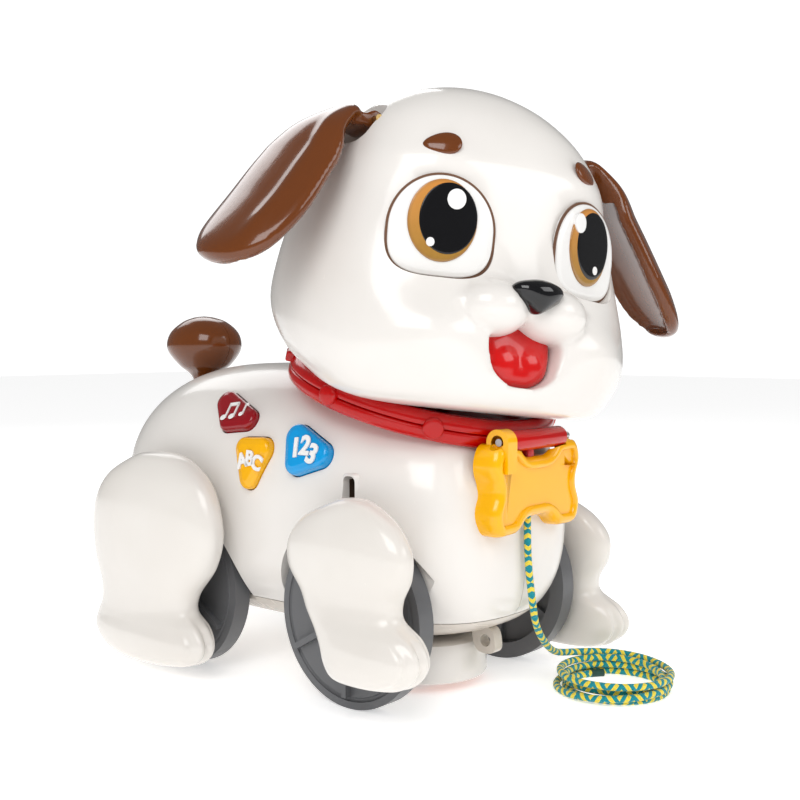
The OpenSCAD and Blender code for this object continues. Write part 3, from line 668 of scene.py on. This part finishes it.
def tube(points, radius, sides=14):
    """A closed tube along a line, its U running along it and its V round it."""
    start()
    bpy.ops.mesh.primitive_cylinder_add(vertices=sides, radius=radius, depth=1, end_fill_type="NGON")
    piece = added()
    ways = [(points[min(i + 1, len(points) - 1)] - points[max(i - 1, 0)]).normalized() for i in range(len(points))]
    side = ways[0].orthogonal().normalized()
    vertices, faces, walk = [], [], []
    travel = 0.0
    for i, (point, way) in enumerate(zip(points, ways)):
        side = (side - way * side.dot(way)).normalized()
        other = way.cross(side)
        travel += (point - points[i - 1]).length if i else 0
        walk.append(travel)
        for k in range(sides):
            a = 2 * pi * k / sides
            vertices.append(point + radius * (cos(a) * side + sin(a) * other))
    for i in range(len(points) - 1):
        for k in range(sides):
            a, b = i * sides + k, i * sides + (k + 1) % sides
            faces.append((a, b, b + sides, a + sides))
    last = (len(points) - 1) * sides
    faces += [tuple(reversed(range(sides))), tuple(range(last, last + sides))]
    piece.data.clear_geometry()
    piece.data.from_pydata([tuple(v) for v in vertices], [], faces)
    layer = piece.data.uv_layers.new(name="along")
    for face in piece.data.polygons:
        for corner, loop in enumerate(face.loop_indices):
            index = piece.data.loops[loop].vertex_index
            ring, k = divmod(index, sides)
            wrap = 1 if len(face.vertices) == 4 and corner in (1, 2) and k == 0 else 0
            layer.data[loop].uv = (walk[ring] / (CORD_D * 0.62), k / sides + wrap)
    return piece


def make_cord():
    line, length = even(cord_line(), 1.0)
    end_size = 7
    piece = tube(line, CORD_D / 2)
    tip = tube(line[-end_size:], CORD_D / 2 + 0.12)
    finish(tip, "cord_sealed_end", "torso", CORD_END, "cord_braid")
    finish(piece, "pull_cord", "torso", BRAID, "cord_braid", ("cord", "cord_coil"), angle=80)


make_cord()


# ---- Body ----

def neck_cutter(height, radius=COLLAR_R + 0.3):
    return moved(rod(radius, (0, 0, height), (0, 0, 90)), NECK)


def wheel_places():
    return [(side, y) for side in (-1, 1) for y in (0, WHEELBASE)]


BUTTONS = {"music": (-51, 69, 116.5, 33), "abc": (-58.3, 51.5, 95.5, 8), "123": (-55.8, 22.5, 102.5, 19)}
BUTTON_CORNERS = {"music": [(-9, -3.5, 5), (8.5, 4, 5.5), (2, -5.5, 4.5)],
    "abc": [(-5, 6, 5.5), (5, 6, 5), (1, -6, 5)], "123": [(-8.5, -1, 5.5), (5.5, 5, 6), (3, -4.5, 6)]}


def button_frame(name):
    x, y, z, tilt = BUTTONS[name]
    return (Matrix.Translation((x, y, z)) @ Matrix.Rotation(radians(tilt), 4, "Y") @ Matrix.Rotation(-pi / 2, 4, "Z")
        @ Matrix.Rotation(pi / 2, 4, "X"))


def button_outline(name, grow, arc=20):
    """The tight outline round three corner circles."""
    points = []
    for x, y, radius in BUTTON_CORNERS[name]:
        for k in range(72):
            a = 2 * pi * k / 72
            points.append((-x + (radius + grow) * cos(a), y + (radius + grow) * sin(a)))
    points.sort()
    def chain(order):
        line = []
        for p in order:
            while len(line) > 1 and ((line[-1][0] - line[-2][0]) * (p[1] - line[-2][1])
                    - (line[-1][1] - line[-2][1]) * (p[0] - line[-2][0])) <= 0:
                line.pop()
            line.append(p)
        return line[:-1]
    ring = [Vector((x, y, 0)) for x, y in chain(points) + chain(reversed(points))]
    return [(p.x, p.y) for p in even(ring + ring[:1], 0.9)[0][:-1]]


SLOT_SIZE = {0: (81, 94, -2), 1: (82, 94, WHEELBASE)}


def slot_block(side, which, grow, x0, x1):
    z0, z1, y = SLOT_SIZE[which]
    half = 3.1 + grow
    xs = sorted((side * x0, side * x1))
    piece = block(xs, (y - half, y + half), (z0 - grow, z1 + grow))
    return modify(piece, "BEVEL", width=min(half * 0.8, 2.2), segments=4, limit_method="NONE")


def make_painted_slot_shade():
    """The painted shade that shows inside the four guide slots: dark sheets at their backs and along their side walls.
    """
    parts = []
    for side in (-1, 1):
        for which in (0, 1):
            z0, z1, y = SLOT_SIZE[which]
            parts.append(block(sorted((side * 40.6, side * 42.4)), (y - 4, y + 4), (z0 - 2, z1 + 2)))
            for edge in (-1, 1):
                parts.append(block(sorted((side * 42.2, side * 52.5)), sorted((y + edge * 3.0, y + edge * 3.8)), (z0 - 2, z1 + 2)))
    finish(join(*parts), "slot_painted_shade", "torso", PAINTED_SLOT_SHADE, "brown_plastic")


def make_body():
    solid = loft(BODY_ROWS, body_point, 168, 120, 0.02)
    for side, y in wheel_places():
        cut(solid, rod(ARCH_R, (side * LINER_X, y, WHEEL_Z), (side * 80, y, WHEEL_Z), 128))
    base = copy_of(solid)
    keep(base, block((-90, 90), (-80, 200), (0, SEAM_Z - SEAM / 2)))
    cut(base, rod(9.3, (0, 6, 0), (0, 6, 40)), block((-30, 30), (51.5, 98.5), (10, 29.5)),
        block((-25.4, -18.6), (106.6, 116.4), (10, 30)))
    finish(base, "base_tray", "torso", IVORY, "ivory_base", ("base_pan",))
    keep(solid, block((-90, 90), (-80, 200), (SEAM_Z + SEAM / 2, 200)))
    for side in (-1, 1):
        for which in (0, 1):
            combine(solid, slot_block(side, which, 1.3, 48, 56.3 if which == 0 else 59.4), "UNION")
            cut(solid, slot_block(side, which, 0, 42, 75))
    cut(solid, neck_cutter(DECK), rod(10, (0, 152, 94), (0, 152, 160)))
    for name in BUTTONS:
        cut(solid, moved(plate(button_outline(name, 0.45), 14), button_frame(name) @ Matrix.Translation((0, 0, 9))))
    left = copy_of(solid)
    keep(solid, block((-90, -SEAM / 2), (-80, 200), (0, 200)))
    keep(left, block((SEAM / 2, 90), (-80, 200), (0, 200)))
    grille = [(0, 0)] + [(7 * cos(pi / 3 * i), 7 * sin(pi / 3 * i)) for i in range(6)]
    for y, z in grille:
        cut(left, rod(1.4, (52, 50 + y, 92 + z), (70, 50 + y, 92 + z), 24))
    finish(solid, "body_right", "torso", WHITE, "white_shell", ("shell_right",))
    finish(left, "body_left", "torso", WHITE, "white_shell", ("shell_left",))


def make_tow_loop():
    """A D-shaped eye under the front of the base."""
    outline = rounded([(-5.6, -5.4), (5.4, -5.4), (7.5, 6), (-4, 6)], 4.6, 8)
    loop = moved(plate(outline, 6, edge=1.0), Matrix.Translation((3, -30, 22.5)) @ Matrix.Rotation(pi / 2, 4, "Z") @ Matrix.Rotation(pi / 2, 4, "X"))
    cut(loop, rod(2.6, (-8, -30, 22.5), (8, -30, 22.5), 48))
    finish(loop, "tow_eye", "torso", IVORY, "ivory_base")


# ---- Legs ----

def toes(front, floor_z):
    """Three toes: two shallow grooves over the front of the paw, and a rounded sole."""
    def shape(p):
        reach = exp(-((p.y - front) / 17) ** 2) * exp(-max(0, p.z - floor_z - 13) ** 2 / 60)
        dent = sum(exp(-((p.x - x) / 1.5) ** 2) for x in (67.2, 72.8, 78.4)) * 1.9 * reach
        p.y += dent
        p.z -= dent * 0.25 * (1 if p.z > floor_z + 12 else 0)
        return p
    return shape


def make_leg(name, rows, left, drop, front, floor_z, pin_y, pin_z):
    piece = loft(rows, leg_point, 144, 128, 0.035, toes(front, floor_z))
    cut(piece, rod(3.3, (50, pin_y, pin_z), (68, pin_y, pin_z), 48))
    flip = Matrix.Scale(1 if left else -1, 4, (1, 0, 0))
    moved(piece, Matrix.Translation((0, 0, drop)) @ flip)
    finish(piece, name + "_paw", name + "_body", LEG_WHITE, "ivory_leg", (name,))


def make_legs():
    low_step = 12
    for name, rows, left, drop, front, floor_z, y, pin_z in (
            ("leg_front_right", FRONT_LEG_ROWS, False, 0, -53, 18.5, 0, WHEEL_Z + 6),
            ("leg_front_left", FRONT_LEG_ROWS, True, -low_step, -53, 18.5, 0, WHEEL_Z + 6),
            ("leg_rear_right", REAR_LEG_ROWS, False, 0, 65, 5, WHEELBASE, WHEEL_Z - 6),
            ("leg_rear_left", REAR_LEG_ROWS, True, low_step, 65, 5, WHEELBASE, WHEEL_Z - 6)):
        make_leg(name, rows, left, drop, front, floor_z, y, pin_z)


def make_turret():
    skirt = [(0, 19.1), (26, 19.1), (26, 4), (28, 4), (28, 20.7), (9, 20.7), (9, 26), (11.5, 26), (11.5, 28), (0, 28)]
    points = [(0.01, 19.1), (25.6, 19.1), (26, 18.7), (26, 5.2), (26.5, 4.2), (27.3, 4.0), (28, 4.8), (28, 6), (28, 18),
        (27.3, 20), (25.6, 20.7), (9.4, 20.7), (9, 21.1), (9, 26), (11.5, 26), (11.5, 28), (0.01, 28)]
    piece = turned_profile(points, 144)
    moved(piece, Matrix.Translation((0, 6, 0)))
    finish(piece, "turret_skirt", "turret", WHITE, "white_shell", ("turret_housing",))


# ---- Collar and bone ----

HINGE = joint_place("bone_swing")


def make_collar():
    lower = [(49, -3.4), (8.2, -3.4), (8.2, DECK)] + [(COLLAR_R - 3.6, DECK), (COLLAR_R - 1.6, -5.6), (COLLAR_R - 0.5, -4.6),
        (COLLAR_R, -3.2), (COLLAR_R, -1.4), (COLLAR_R - 0.25, -0.6), (COLLAR_R - 0.9, -0.1), (49, -0.1)]
    piece = moved(turned_profile(lower, 180), NECK)
    barrel = rod(4.3, HINGE + Vector((-18.6, 0, 0)), HINGE + Vector((18.6, 0, 0)), 48)
    modify(barrel, "BEVEL", width=0.7, segments=3, limit_method="ANGLE")
    arm = block((-18, 18), (HINGE.y + 1, HINGE.y + 8), (HINGE.z - 2.8, HINGE.z + 2.6))
    tab = block((-4.2, 0.2), (-51.9, -48.5), (98.1, 105.5))
    modify(tab, "BEVEL", width=0.5, segments=3, limit_method="ANGLE")
    bore = rod(1.6, HINGE + Vector((-30, 0, 0)), HINGE + Vector((30, 0, 0)), 32)
    join(barrel, arm, tab)
    cut(barrel, bore)
    join(piece, barrel)
    finish(piece, "collar_band_lower", "torso", RED, "red_plastic", ("collar_lower",))
    upper = [(50, 0.15), (COLLAR_R - 0.9, 0.15), (COLLAR_R - 0.2, 0.5), (COLLAR_R, 1.2), (COLLAR_R - 0.05, 2.2),
        (COLLAR_R - 0.7, 3.6), (COLLAR_R - 1.9, 4.8), (COLLAR_R - 3.2, 5.4), (52, 5.4), (50, 4)]
    piece = turned_profile(upper, 180)
    nub = block((COLLAR_R - 3, COLLAR_R + 2.2), (-4, 4), (1, 5.6))
    modify(nub, "BEVEL", width=0.9, segments=3, limit_method="NONE")
    moved(nub, Matrix.Rotation(radians(135), 4, "Z"))
    join(piece, nub)
    finish(moved(piece, NECK), "collar_band_upper", "torso", RED, "red_plastic", ("collar_upper",))
    domes = []
    for angle in (-180, -135, -45, 0):
        stud = turned_profile([(0.01, -1), (4.2, -1), (4.2, 0.9), (3.9, 1.35), (3.2, 1.6), (1.5, 1.75), (0.01, 1.8)], 40)
        side = Matrix.Rotation(radians(angle), 4, "Z") @ Matrix.Translation((COLLAR_R, 0, 0)) @ Matrix.Rotation(pi / 2, 4, "Y")
        domes.append(moved(stud, NECK @ side))
    finish(join(*domes), "collar_domes", "torso", RED, "red_plastic", ("collar_studs",))


BONE_Z = 89.0
BONE_FRONT = -55.5
BONE_BACK = -44.0


BONE_QUARTER = [(8, 12.2), (14, 18), (28, 18.4), (31.5, 9), (26.8, 0)]


def bone_outline():
    """A dog bone: four soft lobes on a waisted bar."""
    up = BONE_QUARTER[:-1]
    side = BONE_QUARTER[-1]
    ring = up + [side] + [(x, -y) for x, y in reversed(up)] + [(-x, -y) for x, y in up] + [(-side[0], 0)]
    ring += [(-x, y) for x, y in reversed(up)]
    soft = [Vector((x, y, 0)) for x, y in rounded(ring, 7, 8)]
    return [(p.x, p.y) for p in even(soft + soft[:1], 0.8)[0][:-1]]


def make_bone():
    outline = bone_outline()
    facing = Matrix.Translation((0, BONE_FRONT, BONE_Z)) @ Matrix.Rotation(pi / 2, 4, "X")
    piece = moved(stack(outline, ((0, -11.5), (0, -4.4), (-0.3, -2.9), (-1.0, -1.3), (-2.1, -0.3), (-3.0, 0),
        (-4.0, 0), (-4.5, -0.25), (-4.8, -1.4))), facing)
    cut(piece, loft(BODY_ROWS, body_point, 96, 64, 0.02))
    cut(piece, neck_cutter(DECK - 2, COLLAR_R + 0.6))
    cut(piece, moved(stack(outline, ((-2.6, -30), (-2.6, -5.5), (-4.5, -4.2))), facing))
    cut(piece, block((-18.9, 18.9), (BONE_BACK - 8, -20), (101, 120)))
    for x in (-25.4, 19.2):
        lug = rod(5.2, (x, HINGE.y, HINGE.z), (x + 6.2, HINGE.y, HINGE.z), 64)
        combine(lug, block((x, x + 6.2), (HINGE.y - 5.2, HINGE.y + 2), (96, HINGE.z)), "UNION")
        modify(lug, "BEVEL", width=0.6, segments=3, limit_method="ANGLE", angle_limit=radians(50))
        combine(piece, lug, "UNION")
    cut(piece, block((-4.8, 0.8), (BONE_FRONT + 3.4, -20), (60, 104)),
        rod(4.9, HINGE + Vector((-18.9, 0, 0)), HINGE + Vector((18.9, 0, 0))))
    for x, side in ((-25.4, -1), (25.4, 1)):
        cut(piece, rod(2.9, (x - side * 1.6, HINGE.y, HINGE.z), (x + side * 3, HINGE.y, HINGE.z), 40),
            rod(1.6, (x - side * 9, HINGE.y, HINGE.z), (x + side * 3, HINGE.y, HINGE.z), 32))
    finish(piece, "bone_charm", "bone", YELLOW, "yellow_plastic", ("bone_tag",), angle=50)


# ---- Buttons and their print ----

def letters(text, size):
    start()
    bpy.ops.object.text_add()
    piece = added()
    piece.data.body = text
    piece.data.size = size
    piece.data.offset = 0.04 * size
    piece.data.extrude = 0.3
    piece.data.align_x = "CENTER"
    piece.data.align_y = "CENTER"
    piece.data.resolution_u = 6
    alone(piece)
    bpy.ops.object.convert(target="MESH")
    return outward(added())


# Signs, their size, and the places and tilts of their three marks
SIGNS = {"abc": ("ABC", 8.6, ((-4.4, -0.6, 18), (0, 0.6, 0), (4.5, -0.9, -18))),
    "123": ("123", 11.0, ((-4.9, 0.2, 10), (0.2, 1.4, 0), (4.9, -1.8, -12)))}


def printed(text, size, places):
    marks = [moved(letters(mark, size), Matrix.Translation((x, y, 0)) @ Matrix.Rotation(radians(tilt), 4, "Z"))
        for mark, (x, y, tilt) in zip(text, places)]
    return join(*marks)


def music_notes():
    """Two beamed notes and a single one, from heads, stems and beams."""
    parts = []
    for x, y in ((-4.4, -3.0), (0.4, -2.2)):
        head = moved(ball((0, 0, 0), (1.75, 1.3, 0.3), 32, 16), Matrix.Translation((x, y, 0)) @ Matrix.Rotation(0.4, 4, "Z"))
        stem = block((x + 0.95, x + 1.65), (y, y + 6.6), (-0.3, 0.3))
        parts += [head, stem]
    beam = moved(block((-3.45, 2.05), (-0.75, 0.75), (-0.3, 0.3)), Matrix.Translation((0, 3.9, 0)) @ Matrix.Rotation(0.16, 4, "Z"))
    small = moved(ball((0, 0, 0), (1.3, 1.0, 0.3), 32, 16), Matrix.Translation((5.6, -0.8, 0)) @ Matrix.Rotation(0.4, 4, "Z"))
    parts += [beam, small, block((6.35, 6.9), (-0.8, 4.6), (-0.3, 0.3)), block((6.5, 8.2), (3.4, 4.6), (-0.3, 0.3))]
    return outward(join(*parts))


def make_buttons():
    looks = {"music": (BUTTON_RED, "dark_red_button"), "abc": (YELLOW, "yellow_plastic"), "123": (BLUE, "blue_plastic")}
    top = 2.6
    for name, (material, slot) in looks.items():
        cap = plate(button_outline(name, 0), 7.6, bulge=0.5, edge=2.1)
        stem = rod(3, (0, 0, -11), (0, 0, -7), 32)
        join(cap, stem)
        moved(cap, button_frame(name) @ Matrix.Translation((0, 0, top)))
        finish(cap, "button_cap_" + name, "button_%s_body" % name, material, slot, ("button_" + name,), angle=50)
        sign = music_notes() if name == "music" else printed(*SIGNS[name])
        shift = {"music": (1.2, -2.0), "abc": (1.4, 1.3), "123": (2.6, -0.2)}[name]
        moved(sign, button_frame(name) @ Matrix.Translation((shift[0], shift[1], top + 0.95)))
        finish(sign, "button_sign_" + name, "button_%s_body" % name, PRINT_WHITE, "white_shell")


# ---- Tail ----

def make_tail():
    solid = loft(TAIL_ROWS, tall_point, 96, 80, 0.04)
    left = copy_of(solid)
    keep(solid, block((-40, -SEAM / 3), (100, 200), (0, 200)))
    keep(left, block((SEAM / 3, 40), (100, 200), (0, 200)))
    finish(solid, "tail_puff_right", "tail", BROWN, "brown_plastic", ("tail_right",))
    finish(left, "tail_puff_left", "tail", BROWN, "brown_plastic", ("tail_left",))


# ---- Head ----

EYE_AT = Vector((33.9, -57.6, 184.2))
EYE_YAW = radians(20)
PUFF = {"at": (13.4, -63, 157.3), "radii": (15.5, 15.5, 11.4)}


def eye_frame(side, out=0.0):
    """Local x runs across the eye towards the puppy's left, y up, and z out of the face."""
    at = Vector((side * EYE_AT.x, EYE_AT.y, EYE_AT.z))
    return Matrix.Translation(at) @ Matrix.Rotation(side * EYE_YAW, 4, "Z") @ Matrix.Rotation(pi / 2, 4, "X") @ Matrix.Translation((0, 0, out))


def eye_outline(grow=0.0):
    """An arch above, with a nearly flat foot and round lower corners."""
    points = []
    for k in range(112):
        a = 2 * pi * (k + 0.5) / 112
        square = 2 if sin(a) > 0 else 3.3
        high = 20.7 if sin(a) > 0 else 17.4
        points.append(((20.1 + grow) * power(cos(a), 2 / square), (high + grow) * power(sin(a), 2 / square)))
    return points


def oval(wide, high, count=96):
    return [(wide * cos(2 * pi * k / count), high * sin(2 * pi * k / count)) for k in range(count)]


def mouth_outline():
    corners = [(-17, 154), (-16.6, 141), (-14, 132.5), (-6.5, 128), (6.5, 128), (14, 132.5), (16.6, 141), (17, 154)]
    ring = [Vector((x, z, 0)) for x, z in rounded(corners, 8, 6)]
    return [(p.x, p.y) for p in even(ring + ring[:1], 0.8)[0][:-1]]


def mouth_solid(grow, y0, y1):
    """The open mouth: flat above, a deep round bowl below."""
    piece = plate(grown(mouth_outline(), grow), y1 - y0)
    return moved(piece, Matrix.Translation((0, y0, 0)) @ Matrix.Rotation(pi / 2, 4, "X"))


def head_shape(p):
    """Swells the cheeks and jaw, and hollows the face between the eyes and above the lids."""
    if p.y > 0:
        return p
    jaw = 2.5 * exp(-(p.x / 34) ** 2 - ((p.z - 128) / 9) ** 2)
    cheek = sum(5.5 * exp(-((p.x - x) / 17) ** 2 - ((p.z - 146) / 12) ** 2) for x in (-38, 38))
    bridge = 2.0 * exp(-(p.x / 11) ** 2 - ((p.z - 172) / 16) ** 2)
    lid = sum(2.2 * exp(-((p.x - x) / 17) ** 2 - ((p.z - 212) / 7) ** 2) for x in (-33, 33))
    face = min(1, max(0, -p.y / 30))
    p.y -= (jaw + cheek + bridge + lid) * face
    return p


def make_head():
    solid = loft(HEAD_ROWS, tall_point, 176, 128, 0.03, head_shape)
    cut(solid, moved(rod(140, (0, 0, -60), (0, 0, HEAD_FLOOR)), NECK))
    cut(solid, mouth_solid(0, -95, -52))
    for side in (-1, 1):
        x, y, z = PUFF["at"]
        combine(solid, ball((side * x, y, z), PUFF["radii"]), "UNION")
        combine(solid, ball((side * 24.5, -60.5, 157), (10.5, 9, 6.5)), "UNION")
    combine(solid, ball((0, -61, 160), (12, 14, 8)), "UNION")
    softened(solid, 1.15, 11)
    for side in (-1, 1):
        cut(solid, moved(plate(eye_outline(1.0), 11), eye_frame(side, 8)))
        limits = sorted((side * 44, side * 90))
        pocket = block(limits, (-27, -1), (219, 241))
        modify(pocket, "BEVEL", width=5, segments=5, limit_method="NONE")
        cut(solid, pocket)
    cut(solid, moved(rod(9, (0, 0, -20), (0, 0, 30), 64), NECK))
    back = copy_of(solid)
    keep(solid, block((-120, 120), (-200, HEAD_SPLIT_Y), (80, 300)))
    keep(back, block((-120, 120), (HEAD_SPLIT_Y + SEAM, 200), (80, 300)))
    finish(solid, "head_face", "head", WHITE, "white_shell", ("head_front",), turned=True, angle=50)
    finish(back, "head_rear", "head", WHITE, "white_shell", ("head_back",), turned=True, angle=50)


def fade(piece, name, measure):
    """Writes a number from 0 to 1 on every vertex, for the material to read."""
    layer = piece.data.attributes.new(name, "FLOAT", "POINT")
    layer.data.foreach_set("value", [min(1, max(0, measure(v.co))) for v in piece.data.vertices])


IRIS_SIZE = (13.3, 15.6)
IRIS_UP = 3.4


def make_eye(side):
    name = "left" if side > 0 else "right"
    panel = plate(eye_outline(0), 5.5, bulge=0.55, edge=0.8)
    moved(panel, eye_frame(side, -0.2))
    finish(panel, "eye_panel_" + name, "head", EYE_WHITE, "eye_panel", ("eye_" + name,), turned=True, angle=60)
    # A brown sheet under the gap round the eye panel: painted shade in that gap.
    rim = plate(eye_outline(0.95), 0.8)
    moved(rim, eye_frame(side, -1.2))
    finish(rim, "eye_gap_shade_" + name, "head", PAINTED_GAP_SHADE, "brown_plastic", turned=True)
    iris = plate(oval(*IRIS_SIZE), 1.6, bulge=0.12, edge=0.4)
    fade(iris, "lift", lambda p: (p.y / IRIS_SIZE[1] + 1) / 2)
    fade(iris, "spread", lambda p: hypot(p.x / IRIS_SIZE[0], p.y / IRIS_SIZE[1]))
    moved(iris, eye_frame(side, 1.0) @ Matrix.Translation((0, IRIS_UP, 0)))
    finish(iris, "iris_" + name, "head", IRIS, "eye_panel", turned=True, angle=60)
    pupil = plate(oval(11.1, 13.5), 1.6, bulge=0.12, edge=0.4)
    moved(pupil, eye_frame(side, 1.35) @ Matrix.Translation((2.1, IRIS_UP + 0.9, 0)))
    finish(pupil, "pupil_" + name, "head", PUPIL_BLACK, "eye_panel", turned=True, angle=60)
    glints = []
    for x, y, radius in ((-6.4 * side - 1.8, 8.4, 3.6), (4.3 * side + 0.3, -8.6, 1.6)):
        glints.append(moved(plate(oval(radius, radius * 1.08, 48), 1.4, edge=0.2),
            eye_frame(side, 1.75) @ Matrix.Translation((x, y + IRIS_UP, 0))))
    finish(join(*glints), "glints_" + name, "head", PRINT_WHITE, "white_shell", turned=True)


def make_brow(side):
    name = "left" if side > 0 else "right"
    piece = ball((0, 0, 0), (7.6, 4.9, 1.9), 64, 32)
    for vertex in piece.data.vertices:
        vertex.co.y *= 1 - 0.22 * side * vertex.co.x / 7.6
    turn = Matrix.Translation((side * 33.6, -52.0, 217.6)) @ Matrix.Rotation(side * radians(30), 4, "Z") @ Matrix.Rotation(radians(68), 4, "X")
    moved(piece, turn @ Matrix.Rotation(side * radians(-9), 4, "Z"))
    finish(piece, "brow_spot_" + name, "head", BROWN, "brown_plastic", ("brow_" + name,), turned=True)


def make_nose():
    """A rounded triangle with drawn-up corners and a pointed foot."""
    piece = ball((0, 0, 0), (1, 1, 1), 72, 48)
    for vertex in piece.data.vertices:
        x, y, z = vertex.co
        width = 11.2 if z > -0.1 else 11.2 * (1 - 0.62 * min(1, (-z - 0.1) / 0.9) ** 1.2)
        rise = 2.2 * max(0, abs(x) - 0.45) ** 1.4 * (1 if z > -0.3 else 0)
        vertex.co = (x * width, y * 7.2, z * (5.4 if z > 0 else 7.6) + rise)
    moved(piece, Matrix.Translation((0, -74.6, 163.2)) @ Matrix.Rotation(radians(-16), 4, "X"))
    finish(outward(piece), "nose_tip", "head", NOSE_BLACK, "black_nose", ("nose",), turned=True, angle=70)


def make_mouth():
    """The tongue fills the open mouth: one soft cushion, its foot further forward than its root."""
    outline = [(x, z - 141) for x, z in mouth_outline()]
    piece = stack(outline, ((-0.3, -12), (-0.3, -4), (-0.9, -2), (-2.0, -0.7), (-3.5, 0.1), (-5.2, 0.5), (-7.0, 0.7)))
    for side in (-1, 1):
        combine(piece, ball((side * 5.6, -2.5, -3.2), (9.0, 8.4, 4.9)), "UNION")
    softened(piece, 0.75, 14)
    moved(piece, Matrix.Translation((0, -65.6, 141)) @ Matrix.Rotation(radians(90 - 15), 4, "X"))
    finish(piece, "tongue_bowl", "head", MOUTH_RED, "red_plastic", ("tongue",), turned=True, angle=70)


# ---- Ears ----

EAR_HINGE = Vector((49, 0, 229))
EAR_TWIST = radians(16)
EAR_SAG = 6.0


def ear_point(row, a, slope, drop, thin):
    x, z, y, half, thick = row
    t = (thick - thin / 3) * sin(a) - drop
    ridge = 1.3 * exp(-((cos(a) + 0.62) / 0.16) ** 2) * (1 if sin(a) > 0 and not drop else 0)
    t += ridge * min(1, max(0, (x - 62) / 16)) * min(1, max(0, (113 - x) / 10))
    breadth = max(half - thin, 0.5) * cos(a)
    share = min(1, max(0, (x - 58) / 24))
    twist, sag = EAR_TWIST * share, EAR_SAG * sin(pi * min(1, share * 0.5 + max(0, x - 82) / 68))
    t, breadth = t * cos(twist) + breadth * sin(twist) - sag, breadth * cos(twist) - t * sin(twist)
    return Vector((x + t * slope[0], y + breadth, z + t * slope[1]))


def ear_skin(u0, u1, drop, thin, segments, rings):
    start()
    bpy.ops.mesh.primitive_uv_sphere_add(segments=segments, ring_count=rings, radius=1)
    piece = added()
    for vertex in piece.data.vertices:
        co = vertex.co
        s = acos(max(-1, min(1, co.z))) / pi
        u = u0 + (u1 - u0) * s
        here, ahead, behind = (row_at(EAR_ROWS, v) for v in (u, min(1, u + 0.03), max(0, u - 0.03)))
        dx, dz = ahead[0] - behind[0], ahead[1] - behind[1]
        length = hypot(dx, dz)
        near = min(s, 1 - s)
        size = sqrt(max(0, 1 - (1 - near / 0.05) ** 2)) if near < 0.05 else 1
        slope = (-dz / length, dx / length)
        place = ear_point(here, atan2(co.y, co.x), slope, drop, thin)
        other = ear_point(here, atan2(co.y, co.x) + pi, slope, drop, thin)
        vertex.co = place.lerp(other, (1 - size) / 2)
    return outward(piece)


def make_ear(side, droop):
    name = "left" if side > 0 else "right"
    piece = ear_skin(0, 1, 0, 0, 96, 96)
    cut(piece, ear_skin(0.27, 0.87, 3.4, 3.4, 64, 64))
    combine(piece, rod(4, (49, -24, 229), (49, -4, 229), 48), "UNION")
    combine(piece, block((49, 58), (-24, -4), (226.5, 231.5)), "UNION")
    softened(piece, 0.8, 12)
    cut(piece, rod(1.6, (49, -40, 229), (49, 10, 229), 32))
    swing = Matrix.Translation(EAR_HINGE) @ Matrix.Rotation(radians(droop), 4, "Y") @ Matrix.Translation(-EAR_HINGE)
    moved(piece, Matrix.Scale(side, 4, (1, 0, 0)) @ swing)
    finish(piece, "ear_flap_" + name, "ear_%s_body" % name, BROWN, "brown_plastic", ("ear_" + name,), turned=True, angle=70)


# ---- Stage ----

def light(name, place, aim, size, power_w, tint=(1, 1, 1)):
    lamp = bpy.data.lights.new(name, "AREA")
    lamp.shape = "RECTANGLE"
    lamp.size, lamp.size_y = size
    lamp.energy = power_w
    lamp.color = tint
    holder = bpy.data.objects.new(name, lamp)
    bpy.context.collection.objects.link(holder)
    holder.location = place
    holder.rotation_euler = (Vector(aim) - Vector(place)).to_track_quat("-Z", "Y").to_euler()


def make_stage():
    start()
    bpy.ops.mesh.primitive_plane_add(size=8, location=(0, 0, 0))
    floor_plane = added()
    floor_plane.name = "studio_floor"
    material, tree, shader = blank("studio_white", Roughness=0.6, Specular_IOR_Level=0.1)
    shader.inputs["Base Color"].default_value = (0.96, 0.96, 0.96, 1)
    shader.inputs["Emission Color"].default_value = (1, 1, 1, 1)
    shader.inputs["Emission Strength"].default_value = 0.46
    floor_plane.data.materials.append(material)
    world = bpy.data.worlds.new("studio") if not bpy.context.scene.world else bpy.context.scene.world
    bpy.context.scene.world = world
    world.use_nodes = True
    sky = world.node_tree.nodes["Background"]
    sky.inputs[0].default_value = (1, 1, 1, 1)
    seen = node(world.node_tree, "ShaderNodeLightPath")
    tree = world.node_tree
    shown = sums(tree, "ADD", sums(tree, "MULTIPLY", seen.outputs["Is Camera Ray"], 0.6), 0.54)
    tree.links.new(sums(tree, "SUBTRACT", shown, sums(tree, "MULTIPLY", seen.outputs["Is Glossy Ray"], 0.36)), sky.inputs[1])
    light("key_box", (-0.95, -0.55, 0.95), (0, -0.02, 0.14), (0.7, 0.7), 7.4)
    light("fill_box", (0.35, -1.15, 0.75), (0, -0.02, 0.12), (0.7, 0.5), 3.2)
    light("rim_box", (0.5, 0.9, 0.9), (0, 0.0, 0.12), (0.9, 0.5), 3.0)
    bpy.context.scene.view_settings.view_transform = "Standard"


make_body()
make_painted_slot_shade()
make_tow_loop()
make_legs()
make_turret()
make_collar()
make_bone()
make_buttons()
make_tail()
make_head()
for side in (-1, 1):
    make_eye(side)
    make_brow(side)
make_nose()
make_mouth()
make_ear(-1, 5)
make_ear(1, 8)
make_stage()
